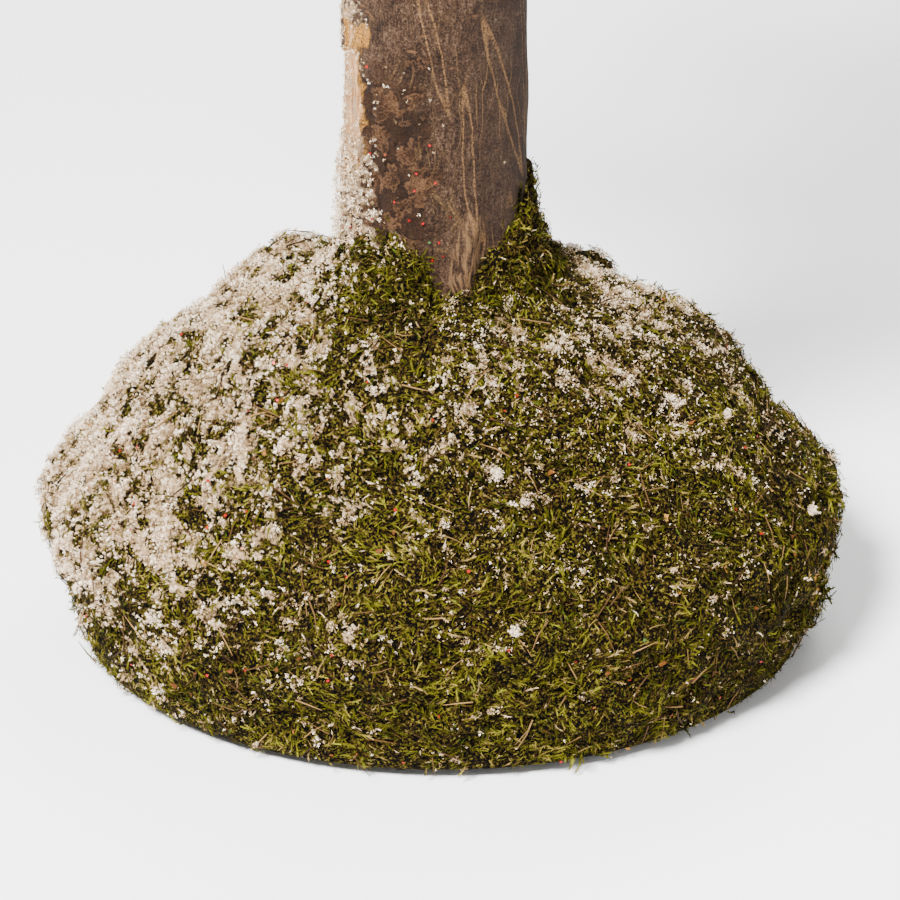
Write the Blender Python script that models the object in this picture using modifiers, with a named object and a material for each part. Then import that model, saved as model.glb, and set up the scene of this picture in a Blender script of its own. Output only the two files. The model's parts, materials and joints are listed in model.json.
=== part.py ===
"""An artificial tabletop tree: a real wood trunk screwed to a weighted round base, with a moss mound
hiding the foot and wired branches pushed into holes drilled in five tiers up the trunk.

Metres, +Z up. The origin is the centre of the felt pad's underside, so the tree stands on z = 0.
"""

import math
import random

import bmesh
import bpy
from mathutils import Matrix, Vector

# Driving sizes -------------------------------------------------------------------------------------
CLEARANCE = 0.0003  # air left between neighbouring pieces

MOUND_RADIUS = 0.088  # moss surface at its widest
MOUND_WIDEST_Z = 0.032
MOUND_FOOT_RADIUS = 0.082
MOUND_HEIGHT = 0.088  # where the dome would close on the axis
MOUND_POWER = 1.22  # how square the dome's shoulder is
MOUND_STEPS = 14
MOSS_THICKNESS = 0.004
MOSS_HEM_Z = 0.0025  # the moss stops this far above the table

FELT_THICKNESS = 0.0015
FELT_INSET = 0.002  # the felt's edge lies this far inside the base board's
BOARD_THICKNESS = 0.008
BALLAST_DRAFT = 0.006  # how much narrower the ballast's top is
BALLAST_HEIGHT = 0.030
FOAM_HEM_THICKNESS = 0.021  # foam outside the ballast at the foot

TRUNK_OFFSET_X = -0.002  # the pole stands a little off the mound's centre
TRUNK_FOOT_RADIUS = 0.0213
TRUNK_TIP_RADIUS = 0.0115
TRUNK_TAPER_POWER = 1.4  # above 1, the taper is slower near the foot
TRUNK_TOP_Z = 0.545
TRUNK_STEPS = 12

SCREW_RADIUS = 0.003
SCREW_LENGTH = 0.050
SCREW_POINT_LENGTH = 0.006
SCREW_HEAD_ACROSS = 0.010
SCREW_HEAD_HEIGHT = 0.0032
WASHER_RADIUS = 0.0075
WASHER_THICKNESS = 0.0012

WIRE_RADIUS = 0.0013
WIRE_SWING_ROOM = 0.0010  # air all round the wire in its hole, for it to swing in
BRANCH_HOLE_DEPTH = 0.008
WIRE_END_IN_HOLE = 0.0010
BARE_WIRE_LENGTH = 0.006  # wire between the bark and the first needles
BRANCH_FLATNESS = 0.45  # a branch's thickness as a share of its width

# One row for each tier, lowest first: height, branch length, foliage width, pitch above level.
BRANCHES_IN_TIER = 5
TIERS = [
    (0.262, 0.150, 0.062, math.radians(6)),
    (0.322, 0.130, 0.056, math.radians(12)),
    (0.380, 0.108, 0.048, math.radians(18)),
    (0.436, 0.086, 0.038, math.radians(26)),
    (0.490, 0.062, 0.026, math.radians(36)),
]
TURN_JITTER = math.radians(4)
PITCH_JITTER = math.radians(2)
HEIGHT_JITTER = 0.003
JITTER_SEED = 7

LEADER_LENGTH = 0.066
LEADER_WIDTH = 0.024

# Moss tufts that climb the trunk: name, middle direction and spread round the trunk, height, reach.
TUFTS = [
    ("moss_tuft_right", math.radians(-15), math.radians(100), 0.027, 0.016),
    ("moss_tuft_left", math.radians(222), math.radians(95), 0.013, 0.015),
    ("moss_tuft_back", math.radians(115), math.radians(80), 0.018, 0.014),
]

# Places worked out from the sizes ------------------------------------------------------------------
TRUNK_AXIS = Vector((TRUNK_OFFSET_X, 0, 0))
TO_TRUNK = Matrix.Translation(TRUNK_AXIS)
CORE_RADIUS = TRUNK_FOOT_RADIUS / 2  # inner radius of turned pieces before the trunk's bore is cut
BOARD_BOTTOM_Z = FELT_THICKNESS + CLEARANCE
BOARD_TOP_Z = BOARD_BOTTOM_Z + BOARD_THICKNESS
BOARD_RADIUS = MOUND_FOOT_RADIUS - MOSS_THICKNESS - CLEARANCE
FOOT_Z = BOARD_TOP_Z + CLEARANCE  # the trunk, ballast and foam all stand here
BALLAST_RADIUS = BOARD_RADIUS - FOAM_HEM_THICKNESS
BALLAST_TOP_RADIUS = BALLAST_RADIUS - BALLAST_DRAFT
BALLAST_TOP_Z = FOOT_Z + BALLAST_HEIGHT
BRANCH_HOLE_RADIUS = WIRE_RADIUS + WIRE_SWING_ROOM
HEAD_POCKET_DEPTH = SCREW_HEAD_HEIGHT + WASHER_THICKNESS + 3 * CLEARANCE
POCKET_TOP_Z = BOARD_BOTTOM_Z + HEAD_POCKET_DEPTH
WASHER_BOTTOM_Z = POCKET_TOP_Z - CLEARANCE - WASHER_THICKNESS
HEAD_TOP_Z = WASHER_BOTTOM_Z - CLEARANCE

ROUND_SIDES = 48
SMALL_SIDES = 16
TRUNK_SIDES = 24
BRANCH_SIDES = 12


def trunk_radius(z):
    """The trunk's radius at a height, from its foot to its tip."""
    share = ((z - FOOT_Z) / (TRUNK_TOP_Z - FOOT_Z)) ** TRUNK_TAPER_POWER
    return TRUNK_FOOT_RADIUS + (TRUNK_TIP_RADIUS - TRUNK_FOOT_RADIUS) * share


def mound_height(radius, inset=0.0):
    """Height of the dome's upper side at a radius, for the surface that lies inset inside the moss."""
    full = MOUND_RADIUS - inset
    share = max(0.0, 1.0 - (radius / full) ** 2) ** (1.0 / MOUND_POWER)
    return MOUND_WIDEST_Z + (MOUND_HEIGHT - inset - MOUND_WIDEST_Z) * share


def mound_outline(inset, inner_radius, bottom_z):
    """The dome's outline from its mouth round the trunk, over the shoulder, and down to bottom_z.

    Layers of every inset share their heights down the skirt, so that they nest whatever its slope.
    """
    full = MOUND_RADIUS - inset
    points = []
    for step in range(MOUND_STEPS + 1):
        lean = step / MOUND_STEPS * math.pi / 2
        radius = inner_radius + (full - inner_radius) * math.sin(lean)
        points.append((radius, mound_height(radius, inset)))
    skirt = [MOUND_WIDEST_Z + (FOOT_Z - MOUND_WIDEST_Z) * step / 3 for step in (1, 2, 3)]
    if bottom_z != FOOT_Z:
        skirt.append(bottom_z)
    for z in skirt:
        rise = (z - MOSS_HEM_Z) / (MOUND_WIDEST_Z - MOSS_HEM_Z)
        tuck = (MOUND_RADIUS - MOUND_FOOT_RADIUS) * (1 - math.sin(rise * math.pi / 2))
        points.append((full - tuck, z))
    return points


# Scene and materials -------------------------------------------------------------------------------
def new_collection(name):
    made = bpy.data.collections.new(name)
    bpy.context.scene.collection.children.link(made)
    return made


def new_material(name, colour, roughness, metallic=0.0):
    material = bpy.data.materials.new(name)
    material.use_nodes = True
    shader = material.node_tree.nodes["Principled BSDF"]
    shader.inputs["Base Color"].default_value = (*colour, 1.0)
    shader.inputs["Roughness"].default_value = roughness
    shader.inputs["Metallic"].default_value = metallic
    material.diffuse_color = (*colour, 1.0)
    return material


for leftover in list(bpy.data.objects):
    bpy.data.objects.remove(leftover)

TREE = new_collection("artificial_tabletop_tree")
CUTTERS = new_collection("cutters")
MATERIALS = {
    "felt": new_material("felt", (0.03, 0.03, 0.03), 0.95),
    "board": new_material("board", (0.06, 0.045, 0.035), 0.7),
    "steel": new_material("steel", (0.6, 0.6, 0.6), 0.35, 1.0),
    "cement": new_material("cement", (0.45, 0.44, 0.42), 0.9),
    "foam": new_material("foam", (0.85, 0.85, 0.82), 0.8),
    "moss": new_material("moss", (0.11, 0.12, 0.03), 0.95),
    "bark": new_material("bark", (0.16, 0.11, 0.085), 0.75),
    "foliage": new_material("foliage", (0.12, 0.20, 0.10), 0.8),
}


def add_object(name, bm, material, smooth=True, collection=None):
    """Makes the finished bmesh an object, with its normals outward and its round sides smooth."""
    bmesh.ops.recalc_face_normals(bm, faces=bm.faces)
    mesh = bpy.data.meshes.new(name)
    bm.to_mesh(mesh)
    bm.free()
    if smooth:
        mesh.shade_smooth()
        mesh.set_sharp_from_angle(angle=math.radians(35))
    if material:
        mesh.materials.append(MATERIALS[material])
    made = bpy.data.objects.new(name, mesh)
    (collection or TREE).objects.link(made)
    return made


def add_cutter(name, bm):
    made = add_object(name, bm, None, smooth=False, collection=CUTTERS)
    made.hide_render = True
    made.display_type = "WIRE"
    return made


def cut(target, cutter, operation="DIFFERENCE"):
    modifier = target.modifiers.new(cutter.name, "BOOLEAN")
    modifier.operation = operation
    modifier.object = cutter


# Shape helpers -------------------------------------------------------------------------------------
def turned(name, outline, material, sides=ROUND_SIDES):
    """A ring turned from a closed outline of (radius, z) points that runs down its outer side."""
    mesh = bpy.data.meshes.new(name)
    bm = bmesh.new()
    corners = [bm.verts.new((radius, 0, z)) for radius, z in outline]
    for first, second in zip(corners, corners[1:] + corners[:1]):
        bm.edges.new((first, second))
    bm.to_mesh(mesh)
    bm.free()
    if material:
        mesh.materials.append(MATERIALS[material])
    made = bpy.data.objects.new(name, mesh)
    TREE.objects.link(made)
    screw = made.modifiers.new("turn", "SCREW")
    screw.axis = "Z"
    screw.steps = sides
    screw.render_steps = sides
    screw.use_merge_vertices = False
    screw.use_smooth_shade = True
    return made


def cylinder(bm, radius, bottom, top, sides, x=0.0):
    """Adds a closed upright cylinder."""
    bmesh.ops.create_cone(
        bm,
        cap_ends=True,
        segments=sides,
        radius1=radius,
        radius2=radius,
        depth=top - bottom,
        matrix=Matrix.Translation((x, 0, (bottom + top) / 2)),
    )


def bore_trunk_hole(target):
    """Cuts the hole that the trunk passes through, right through the piece."""
    bm = bmesh.new()
    cylinder(bm, TRUNK_FOOT_RADIUS + CLEARANCE, -0.02, TRUNK_TOP_Z, ROUND_SIDES, TRUNK_OFFSET_X)
    cut(target, add_cutter(target.name + "_bore", bm))


def swept(bm, stations, sides, flatness=1.0):
    """Extrudes a capped circle along +Z through stations of (z, radius), flattened across Y."""
    first_z, first_radius = stations[0]
    made = bmesh.ops.create_circle(bm, cap_ends=True, segments=sides, radius=first_radius)
    bmesh.ops.scale(bm, vec=(1, flatness, 1), verts=made["verts"])
    bmesh.ops.translate(bm, vec=(0, 0, first_z), verts=made["verts"])
    face = made["verts"][0].link_faces[0]
    for (last_z, last_radius), (z, radius) in zip(stations, stations[1:]):
        grown = bmesh.ops.extrude_face_region(bm, geom=[face, *face.edges])
        face = next(item for item in grown["geom"] if isinstance(item, bmesh.types.BMFace))
        bmesh.ops.translate(bm, vec=(0, 0, z - last_z), verts=face.verts)
        growth = radius / last_radius
        to_axis = Matrix.Translation((0, 0, -z))
        bmesh.ops.scale(bm, vec=(growth, growth, 1), space=to_axis, verts=face.verts)


# Base ----------------------------------------------------------------------------------------------
def add_felt_pad():
    """Felt disc under the board, which covers the screw's pocket."""
    bm = bmesh.new()
    cylinder(bm, BOARD_RADIUS - FELT_INSET, 0, FELT_THICKNESS, ROUND_SIDES)
    return add_object("felt_pad", bm, "felt")


def add_base_board():
    """Round fibreboard with a clearance hole and a pocket for the screw's head and washer."""
    bm = bmesh.new()
    cylinder(bm, BOARD_RADIUS, BOARD_BOTTOM_Z, BOARD_TOP_Z, ROUND_SIDES)
    board = add_object("base_board", bm, "board")
    pocket = bmesh.new()
    cylinder(pocket, WASHER_RADIUS + CLEARANCE, 0, POCKET_TOP_Z, SMALL_SIDES * 2, TRUNK_OFFSET_X)
    cut(board, add_cutter("head_pocket", pocket))
    shank = bmesh.new()
    cylinder(shank, SCREW_RADIUS + CLEARANCE, 0, BOARD_TOP_Z * 2, SMALL_SIDES, TRUNK_OFFSET_X)
    cut(board, add_cutter("shank_hole", shank))
    return board


def add_washer():
    outline = [
        (SCREW_RADIUS + CLEARANCE, WASHER_BOTTOM_Z + WASHER_THICKNESS),
        (WASHER_RADIUS, WASHER_BOTTOM_Z + WASHER_THICKNESS),
        (WASHER_RADIUS, WASHER_BOTTOM_Z),
        (SCREW_RADIUS + CLEARANCE, WASHER_BOTTOM_Z),
    ]
    washer = turned("washer", outline, "steel", sides=SMALL_SIDES * 2)
    washer.location = TRUNK_AXIS
    return washer


def add_coach_screw():
    """Hex-headed wood screw that goes up through the board into the trunk's foot."""
    shank_end = HEAD_TOP_Z + SCREW_LENGTH - SCREW_POINT_LENGTH
    shank = bmesh.new()
    swept(
        shank,
        [
            (HEAD_TOP_Z - SCREW_HEAD_HEIGHT / 2, SCREW_RADIUS),
            (shank_end, SCREW_RADIUS),
            (shank_end + SCREW_POINT_LENGTH, SCREW_RADIUS * 0.15),
        ],
        SMALL_SIDES,
    )
    head = bmesh.new()
    corner_radius = SCREW_HEAD_ACROSS / 2 / math.cos(math.pi / 6)
    cylinder(head, corner_radius, HEAD_TOP_Z - SCREW_HEAD_HEIGHT, HEAD_TOP_Z, 6)
    screw = add_object("coach_screw", head, "steel", smooth=False)
    shank_cutter = add_cutter("screw_shank", shank)
    cut(screw, shank_cutter, "UNION")
    screw.location = TRUNK_AXIS
    shank_cutter.location = TRUNK_AXIS
    return screw


def add_ballast():
    """Cement cast round the trunk's foot, with a slight draft from its mould."""
    outline = [
        (CORE_RADIUS, BALLAST_TOP_Z),
        (BALLAST_TOP_RADIUS, BALLAST_TOP_Z),
        (BALLAST_RADIUS, FOOT_Z),
        (CORE_RADIUS, FOOT_Z),
    ]
    ballast = turned("cement_ballast", outline, "cement")
    bore_trunk_hole(ballast)
    return ballast


def add_foam_mound():
    """Foam dome with a bore for the trunk and a cavity that fits over the ballast."""
    cavity_top = BALLAST_TOP_Z + CLEARANCE
    outline = mound_outline(MOSS_THICKNESS + CLEARANCE, CORE_RADIUS, FOOT_Z)
    outline += [
        (BALLAST_RADIUS + CLEARANCE, FOOT_Z),
        (BALLAST_TOP_RADIUS + CLEARANCE, cavity_top),
        (CORE_RADIUS, cavity_top),
    ]
    foam = turned("foam_mound", outline, "foam")
    bore_trunk_hole(foam)
    return foam


def add_moss_mat():
    """Sheet moss wrapped over the foam, down past the edge of the board."""
    outside = mound_outline(0.0, CORE_RADIUS, MOSS_HEM_Z)
    inside = mound_outline(MOSS_THICKNESS, CORE_RADIUS, MOSS_HEM_Z)
    mat = turned("moss_mat", outside + inside[::-1], "moss")
    bore_trunk_hole(mat)
    return mat


def add_moss_clearance():
    """The mat's upper surface and a little air, solid, to shape the underside of the tufts."""
    outline = mound_outline(-CLEARANCE, CORE_RADIUS / 2, FOOT_Z)
    outline.append((CORE_RADIUS / 2, FOOT_Z))
    clearance = turned("moss_clearance", outline, None)
    TREE.objects.unlink(clearance)
    CUTTERS.objects.link(clearance)
    clearance.hide_render = True
    clearance.display_type = "WIRE"
    return clearance


def add_moss_tuft(mat_surface, name, middle, spread, height, reach):
    """A wedge of moss between the trunk and the mound, spun part of the way round the trunk."""
    inner = TRUNK_FOOT_RADIUS + CLEARANCE
    outer = inner + reach
    base = mound_height(outer + abs(TRUNK_OFFSET_X)) - height * 0.2
    outline = [
        (inner, mound_height(inner) + height),
        (inner + reach * 0.35, mound_height(inner) + height * 0.7),
        (outer, mound_height(outer) + height * 0.2),
        (outer, base),
        (inner, base),
    ]
    bm = bmesh.new()
    face = bm.faces.new([bm.verts.new((radius, 0, z)) for radius, z in outline])
    bmesh.ops.rotate(bm, matrix=Matrix.Rotation(middle - spread / 2, 3, "Z"), verts=bm.verts)
    bmesh.ops.spin(
        bm,
        geom=[face, *face.edges, *face.verts],
        axis=(0, 0, 1),
        angle=spread,
        steps=10,
        use_duplicate=False,
    )
    bmesh.ops.translate(bm, vec=TRUNK_AXIS, verts=bm.verts)
    tuft = add_object(name, bm, "moss")
    cut(tuft, mat_surface)
    return tuft


# Trunk and branches --------------------------------------------------------------------------------
def branch_places():
    """Yields each branch's name, mouth point on the bark, turn, pitch, length and width."""
    jitter = random.Random(JITTER_SEED)
    for tier, (height, length, width, pitch) in enumerate(TIERS):
        stagger = math.pi / BRANCHES_IN_TIER * (tier % 2)
        for number in range(BRANCHES_IN_TIER):
            turn = 2 * math.pi * number / BRANCHES_IN_TIER + stagger
            turn += jitter.uniform(-TURN_JITTER, TURN_JITTER)
            z = height + jitter.uniform(-HEIGHT_JITTER, HEIGHT_JITTER)
            lean = pitch + jitter.uniform(-PITCH_JITTER, PITCH_JITTER)
            outward = Vector((math.cos(turn), math.sin(turn), 0))
            mouth = TRUNK_AXIS + outward * trunk_radius(z) + Vector((0, 0, z))
            yield f"branch_{tier + 1}_{number + 1}", mouth, turn, lean, length, width


def along_branch(mouth, turn, lean):
    """The matrix that lays a shape made along +Z from the bark outwards, with its flat side level."""
    return (
        Matrix.Translation(mouth)
        @ Matrix.Rotation(turn, 4, "Z")
        @ Matrix.Rotation(math.pi / 2 - lean, 4, "Y")
        @ Matrix.Rotation(math.pi / 2, 4, "Z")
    )


def leader_place():
    return TO_TRUNK @ Matrix.Translation((0, 0, TRUNK_TOP_Z))


def branch_stations(length, width, wire_start):
    """Wire, then foliage that swells to its full width a third of the way along and tapers to its tip."""
    half = width / 2
    foliage = length - BARE_WIRE_LENGTH
    shares = [(0.04, 0.38), (0.16, 0.78), (0.34, 1.0), (0.56, 0.86), (0.78, 0.56), (0.94, 0.28), (1.0, 0.1)]
    stations = [(wire_start, WIRE_RADIUS), (BARE_WIRE_LENGTH, WIRE_RADIUS)]
    return stations + [(BARE_WIRE_LENGTH + foliage * along, half * wide) for along, wide in shares]


def add_trunk():
    """A peeled fir pole with a pilot hole in its foot and a hole for every branch and for the leader."""
    bm = bmesh.new()
    heights = [FOOT_Z + (TRUNK_TOP_Z - FOOT_Z) * step / TRUNK_STEPS for step in range(TRUNK_STEPS + 1)]
    swept(bm, [(z, trunk_radius(z)) for z in heights], TRUNK_SIDES)
    bmesh.ops.translate(bm, vec=TRUNK_AXIS, verts=bm.verts)
    trunk = add_object("trunk", bm, "bark")
    pilot = bmesh.new()
    pilot_end = HEAD_TOP_Z + SCREW_LENGTH + CLEARANCE * 2
    cylinder(pilot, SCREW_RADIUS + CLEARANCE, FOOT_Z - 0.01, pilot_end, SMALL_SIDES, TRUNK_OFFSET_X)
    cut(trunk, add_cutter("pilot_hole", pilot))
    holes = bmesh.new()
    along = [along_branch(mouth, turn, lean) for _, mouth, turn, lean, _, _ in branch_places()]
    along.append(leader_place())
    for matrix in along:
        bmesh.ops.create_cone(
            holes,
            cap_ends=True,
            segments=SMALL_SIDES // 2,
            radius1=BRANCH_HOLE_RADIUS,
            radius2=BRANCH_HOLE_RADIUS,
            depth=2 * BRANCH_HOLE_DEPTH,
            matrix=matrix,
        )
    cut(trunk, add_cutter("branch_holes", holes))
    return trunk


def add_branch(name, matrix, length, width):
    """One twisted-wire branch with its needles as a plain flattened spindle, its origin in the bark."""
    bm = bmesh.new()
    swept(bm, branch_stations(length, width, 0.0), BRANCH_SIDES, BRANCH_FLATNESS)
    foliage = add_object(name, bm, "foliage")
    wire = bmesh.new()
    cylinder(wire, WIRE_RADIUS, -WIRE_END_IN_HOLE, BARE_WIRE_LENGTH * 2, SMALL_SIDES // 2)
    wire_cutter = add_cutter(name + "_wire", wire)
    foliage.matrix_world = matrix
    wire_cutter.matrix_world = matrix
    cut(foliage, wire_cutter, "UNION")
    return foliage


def main():
    add_felt_pad()
    add_base_board()
    add_washer()
    add_coach_screw()
    add_ballast()
    add_foam_mound()
    add_moss_mat()
    mat_surface = add_moss_clearance()
    for tuft in TUFTS:
        add_moss_tuft(mat_surface, *tuft)
    add_trunk()
    for name, mouth, turn, lean, length, width in branch_places():
        add_branch(name, along_branch(mouth, turn, lean), length, width)
    add_branch("leader", leader_place(), LEADER_LENGTH, LEADER_WIDTH)


main()
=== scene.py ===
"""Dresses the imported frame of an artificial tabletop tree: bark, moss, snow flock, needles and studio."""

import json
import math

import bmesh
import bpy
import numpy as np
from bpy.props import FloatProperty, FloatVectorProperty, IntProperty, PointerProperty
from mathutils import Matrix, Vector, noise


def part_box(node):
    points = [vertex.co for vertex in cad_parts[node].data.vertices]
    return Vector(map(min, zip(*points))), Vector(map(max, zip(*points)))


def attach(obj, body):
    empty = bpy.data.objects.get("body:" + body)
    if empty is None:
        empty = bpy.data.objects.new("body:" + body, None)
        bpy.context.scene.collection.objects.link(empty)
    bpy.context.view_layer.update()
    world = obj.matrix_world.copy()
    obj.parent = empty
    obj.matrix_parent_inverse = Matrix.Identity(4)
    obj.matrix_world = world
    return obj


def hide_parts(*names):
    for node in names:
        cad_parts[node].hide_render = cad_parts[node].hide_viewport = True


bl_info = {
    "name": "Tabletop Tree",
    "version": (1, 0, 0),
    "blender": (4, 5, 0),
    "location": "View3D > Sidebar > Tree",
    "description": "Builds the bark, moss, flock and needles of an artificial tabletop tree",
    "category": "Object",
}

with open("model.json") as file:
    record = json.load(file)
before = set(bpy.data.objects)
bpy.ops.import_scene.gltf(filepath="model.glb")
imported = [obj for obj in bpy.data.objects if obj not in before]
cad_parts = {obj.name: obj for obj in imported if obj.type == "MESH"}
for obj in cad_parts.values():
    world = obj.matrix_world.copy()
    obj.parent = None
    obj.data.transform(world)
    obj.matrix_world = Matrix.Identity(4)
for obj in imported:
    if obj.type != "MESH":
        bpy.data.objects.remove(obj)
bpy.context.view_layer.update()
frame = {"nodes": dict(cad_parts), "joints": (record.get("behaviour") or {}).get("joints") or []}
STAND = "stand"
MM = 0.001
# The UV map that holds each small shape's tone and its places from root to tip.
PALETTE_UV = "OFBake"
# No strand, needle or flock hangs lower than this.
LOWEST_Z = 0.6 * MM

# Places read from the frame ------------------------------------------------------------------------
MAT_LOW, MAT_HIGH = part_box("moss_mat")
MOUND_RADIUS = (MAT_HIGH.x - MAT_LOW.x) / 2
HEM_Z = MAT_LOW.z
TRUNK_LOW, TRUNK_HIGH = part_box("trunk")
TRUNK_X = (TRUNK_LOW.x + TRUNK_HIGH.x) / 2
TRUNK_FOOT_RADIUS = (TRUNK_HIGH.x - TRUNK_LOW.x) / 2
TRUNK_FOOT_Z = TRUNK_LOW.z
TRUNK_TOP_Z = TRUNK_HIGH.z

# The dome's shape, as the solids under the moss have it.
MOUND_FOOT_RADIUS = 82 * MM
MOUND_WIDEST_Z = 32 * MM
MOUND_HEIGHT = 88 * MM
MOUND_POWER = 1.22
MAT_THICKNESS = 4 * MM
TRUNK_TIP_RADIUS = 11.5 * MM
TRUNK_TAPER_POWER = 1.4
# Bark has relief from just under the moss, and its mesh is finest up to the second height.
BARK_SHOWS_Z = 76 * MM
BARK_FINE_TO_Z = 162 * MM

# Tufts: node, first and last direction round the trunk, where it is highest, height, reach.
TUFTS = [
    ("moss_tuft_right", math.radians(-66), math.radians(36), 0.62, 23.5 * MM, 8.5 * MM),
    ("moss_tuft_left", math.radians(174), math.radians(269), 0.80, 16 * MM, 10 * MM),
    ("moss_tuft_back", math.radians(74), math.radians(156), 0.5, 17 * MM, 9 * MM),
]

# Where a lump of flock or a stray sprig stands out: direction in degrees from +X, height, size.
FLOCK_LUMPS = [
    (-80, 36 * MM, 2.3 * MM),
    (-134, 29 * MM, 3.2 * MM),
    (-23, 60 * MM, 1.7 * MM),
    (-80, 62 * MM, 2.6 * MM),
    (-19, 38 * MM, 2.2 * MM),
]
STRAY_SPRIGS = [
    (-12, 38 * MM, 5.5 * MM),
    (-13, 14 * MM, 4.5 * MM),
    (-70, 5 * MM, 4.0 * MM),
    (143, 76 * MM, 5.0 * MM),
    (-128, 72 * MM, 4.5 * MM),
    (-119, 66 * MM, 4.5 * MM),
]

# Shoulders of the mound behind the trunk, in millimetres: middle, height and width. One is a hollow.
SHOULDERS = [
    ((-36, 27, 74), 4.6, 11),
    ((33, 25, 74), 4.4, 5.5),
    ((36, 24, 72), -3.4, 19),
]

# Stretch marks in the bark: direction in degrees from the front, then millimetres: height above the
# floor, half width, half height, and how far it leans for each millimetre up.
STRETCH_MARKS = [
    (50, 127, 1.9, 17, -0.34),
    (0, 141, 1.3, 14, -0.22),
    (22, 115, 1.2, 15, -0.05),
    (72, 136, 0.9, 18, -0.06),
    (25, 90, 1.5, 8, 0.22),
]


# Numbers that vary over the tree -------------------------------------------------------------------
def smoothstep(low, high, value):
    """0 below low and 1 above high, with a smooth rise; low above high turns it round."""
    share = np.clip((value - low) / (high - low), 0.0, 1.0)
    return share * share * (3 - 2 * share)


def field_noise(points, size):
    """Smooth noise about zero at each point, with lumps about as wide as size."""
    return np.array([noise.noise(Vector(point) / size) for point in points])


def trunk_radius(z):
    """The plain trunk's radius at a height, from its foot to its cut top."""
    share = np.clip((z - TRUNK_FOOT_Z) / (TRUNK_TOP_Z - TRUNK_FOOT_Z), 0, 1)
    return TRUNK_FOOT_RADIUS + (TRUNK_TIP_RADIUS - TRUNK_FOOT_RADIUS) * share**TRUNK_TAPER_POWER


def mound_height(radius, inset=0.0):
    """The dome's height at a radius, or that of a layer inset under it."""
    full = MOUND_RADIUS - inset
    share = np.clip(1 - (radius / full) ** 2, 0, 1) ** (1 / MOUND_POWER)
    return MOUND_WIDEST_Z + (MOUND_HEIGHT - inset - MOUND_WIDEST_Z) * share


def mound_radius(z):
    """The dome's radius at a height, or its skirt's below the widest place."""
    if z < MOUND_WIDEST_Z:
        return skirt_radius(z)
    share = (z - MOUND_WIDEST_Z) / (MOUND_HEIGHT - MOUND_WIDEST_Z)
    return MOUND_RADIUS * math.sqrt(1 - share**MOUND_POWER)


def skirt_radius(z, inset=0.0):
    """The radius under the widest place, where the moss tucks in towards the board."""
    rise = (z - HEM_Z) / (MOUND_WIDEST_Z - HEM_Z)
    tuck = (MOUND_RADIUS - MOUND_FOOT_RADIUS) * (1 - math.sin(rise * math.pi / 2))
    return MOUND_RADIUS - inset - tuck


def snow_cover(points, normals):
    """How much flock lies at each point, 0 to 1. It was blown on from the upper left."""
    left = -points[:, 0] / MOUND_RADIUS
    height = points[:, 2] / MOUND_HEIGHT
    wide = smoothstep(-0.12, 0.62, left) * (0.42 + 0.58 * smoothstep(0.12, 0.5, height))
    up = smoothstep(0.5, 0.9, height)
    edge = smoothstep(0.5, 0.95, left) * smoothstep(0.15, 0.4, height)
    share = 0.04 + 0.53 * wide * (0.82 + 0.18 * up) + 0.29 * up * (1 - wide) + 0.24 * edge
    share = share + 0.10 * (normals @ np.array([-0.35, -0.1, 0.93]) - 0.5)
    # The moss in front of the trunk was sheltered.
    away = np.hypot(points[:, 0] - TRUNK_X, points[:, 1])
    sheltered = smoothstep(42 * MM, 28 * MM, away) * smoothstep(8 * MM, -8 * MM, points[:, 1])
    share = share * (1 - 0.9 * sheltered * smoothstep(-30 * MM, -16 * MM, points[:, 0]))
    lumps = 0.48 + 0.34 * field_noise(points, 9 * MM) + 0.48 * field_noise(points, 3.4 * MM)
    lumps = lumps + 0.62 * field_noise(points, 1.3 * MM)
    limit = 1.06 - 0.98 * share
    return smoothstep(limit - 0.26, limit + 0.32, lumps)


def trunk_marks(points):
    """Peeled wood, rusty scab, flock and a fold on the bark at each point, each 0 to 1."""
    turn = np.degrees(np.arctan2(points[:, 0] - TRUNK_X, -points[:, 1]))
    z = points[:, 2] / MM
    ragged = field_noise(points, 5 * MM)
    fine = field_noise(points, 1.8 * MM)
    edge = turn + 14 * ragged + 5 * fine
    peel = smoothstep(-43, -61, edge) * smoothstep(-125, -112, edge)
    torn = z + (4 + 16 * smoothstep(-66, -84, turn)) * ragged
    peel = peel * smoothstep(108, 113, torn) * smoothstep(143, 139, torn)
    scab = smoothstep(-64, -50, edge) * smoothstep(8, -12, edge)
    scab = scab * smoothstep(88, 104, z + 6 * ragged) * smoothstep(140, 128, z + 10 * ragged)
    scab = scab * (1 - peel)
    side = smoothstep(-34, -62, turn + 16 * ragged + 12 * fine) * smoothstep(-178, -140, turn)
    border = -26 - np.clip(z - 96, -20, 60) + 26 * ragged + 20 * fine
    low = smoothstep(7, -7, turn - border) * smoothstep(-178, -140, turn) * smoothstep(150, 128, z)
    high = side * smoothstep(138, 143, z + 4 * ragged) * smoothstep(330, 160, z + 60 * ragged)
    far = side * 0.4 * smoothstep(0.0, 0.35, ragged)
    flock = np.maximum(np.maximum(low, high), far) * smoothstep(-0.5, 0.0, fine)
    across_fold = (turn - 20 - (z - 95) * 0.5) / 8
    fold = np.exp(-(across_fold**2)) * smoothstep(106, 99, z) * smoothstep(76, 84, z)
    return peel, scab, flock, fold


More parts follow.
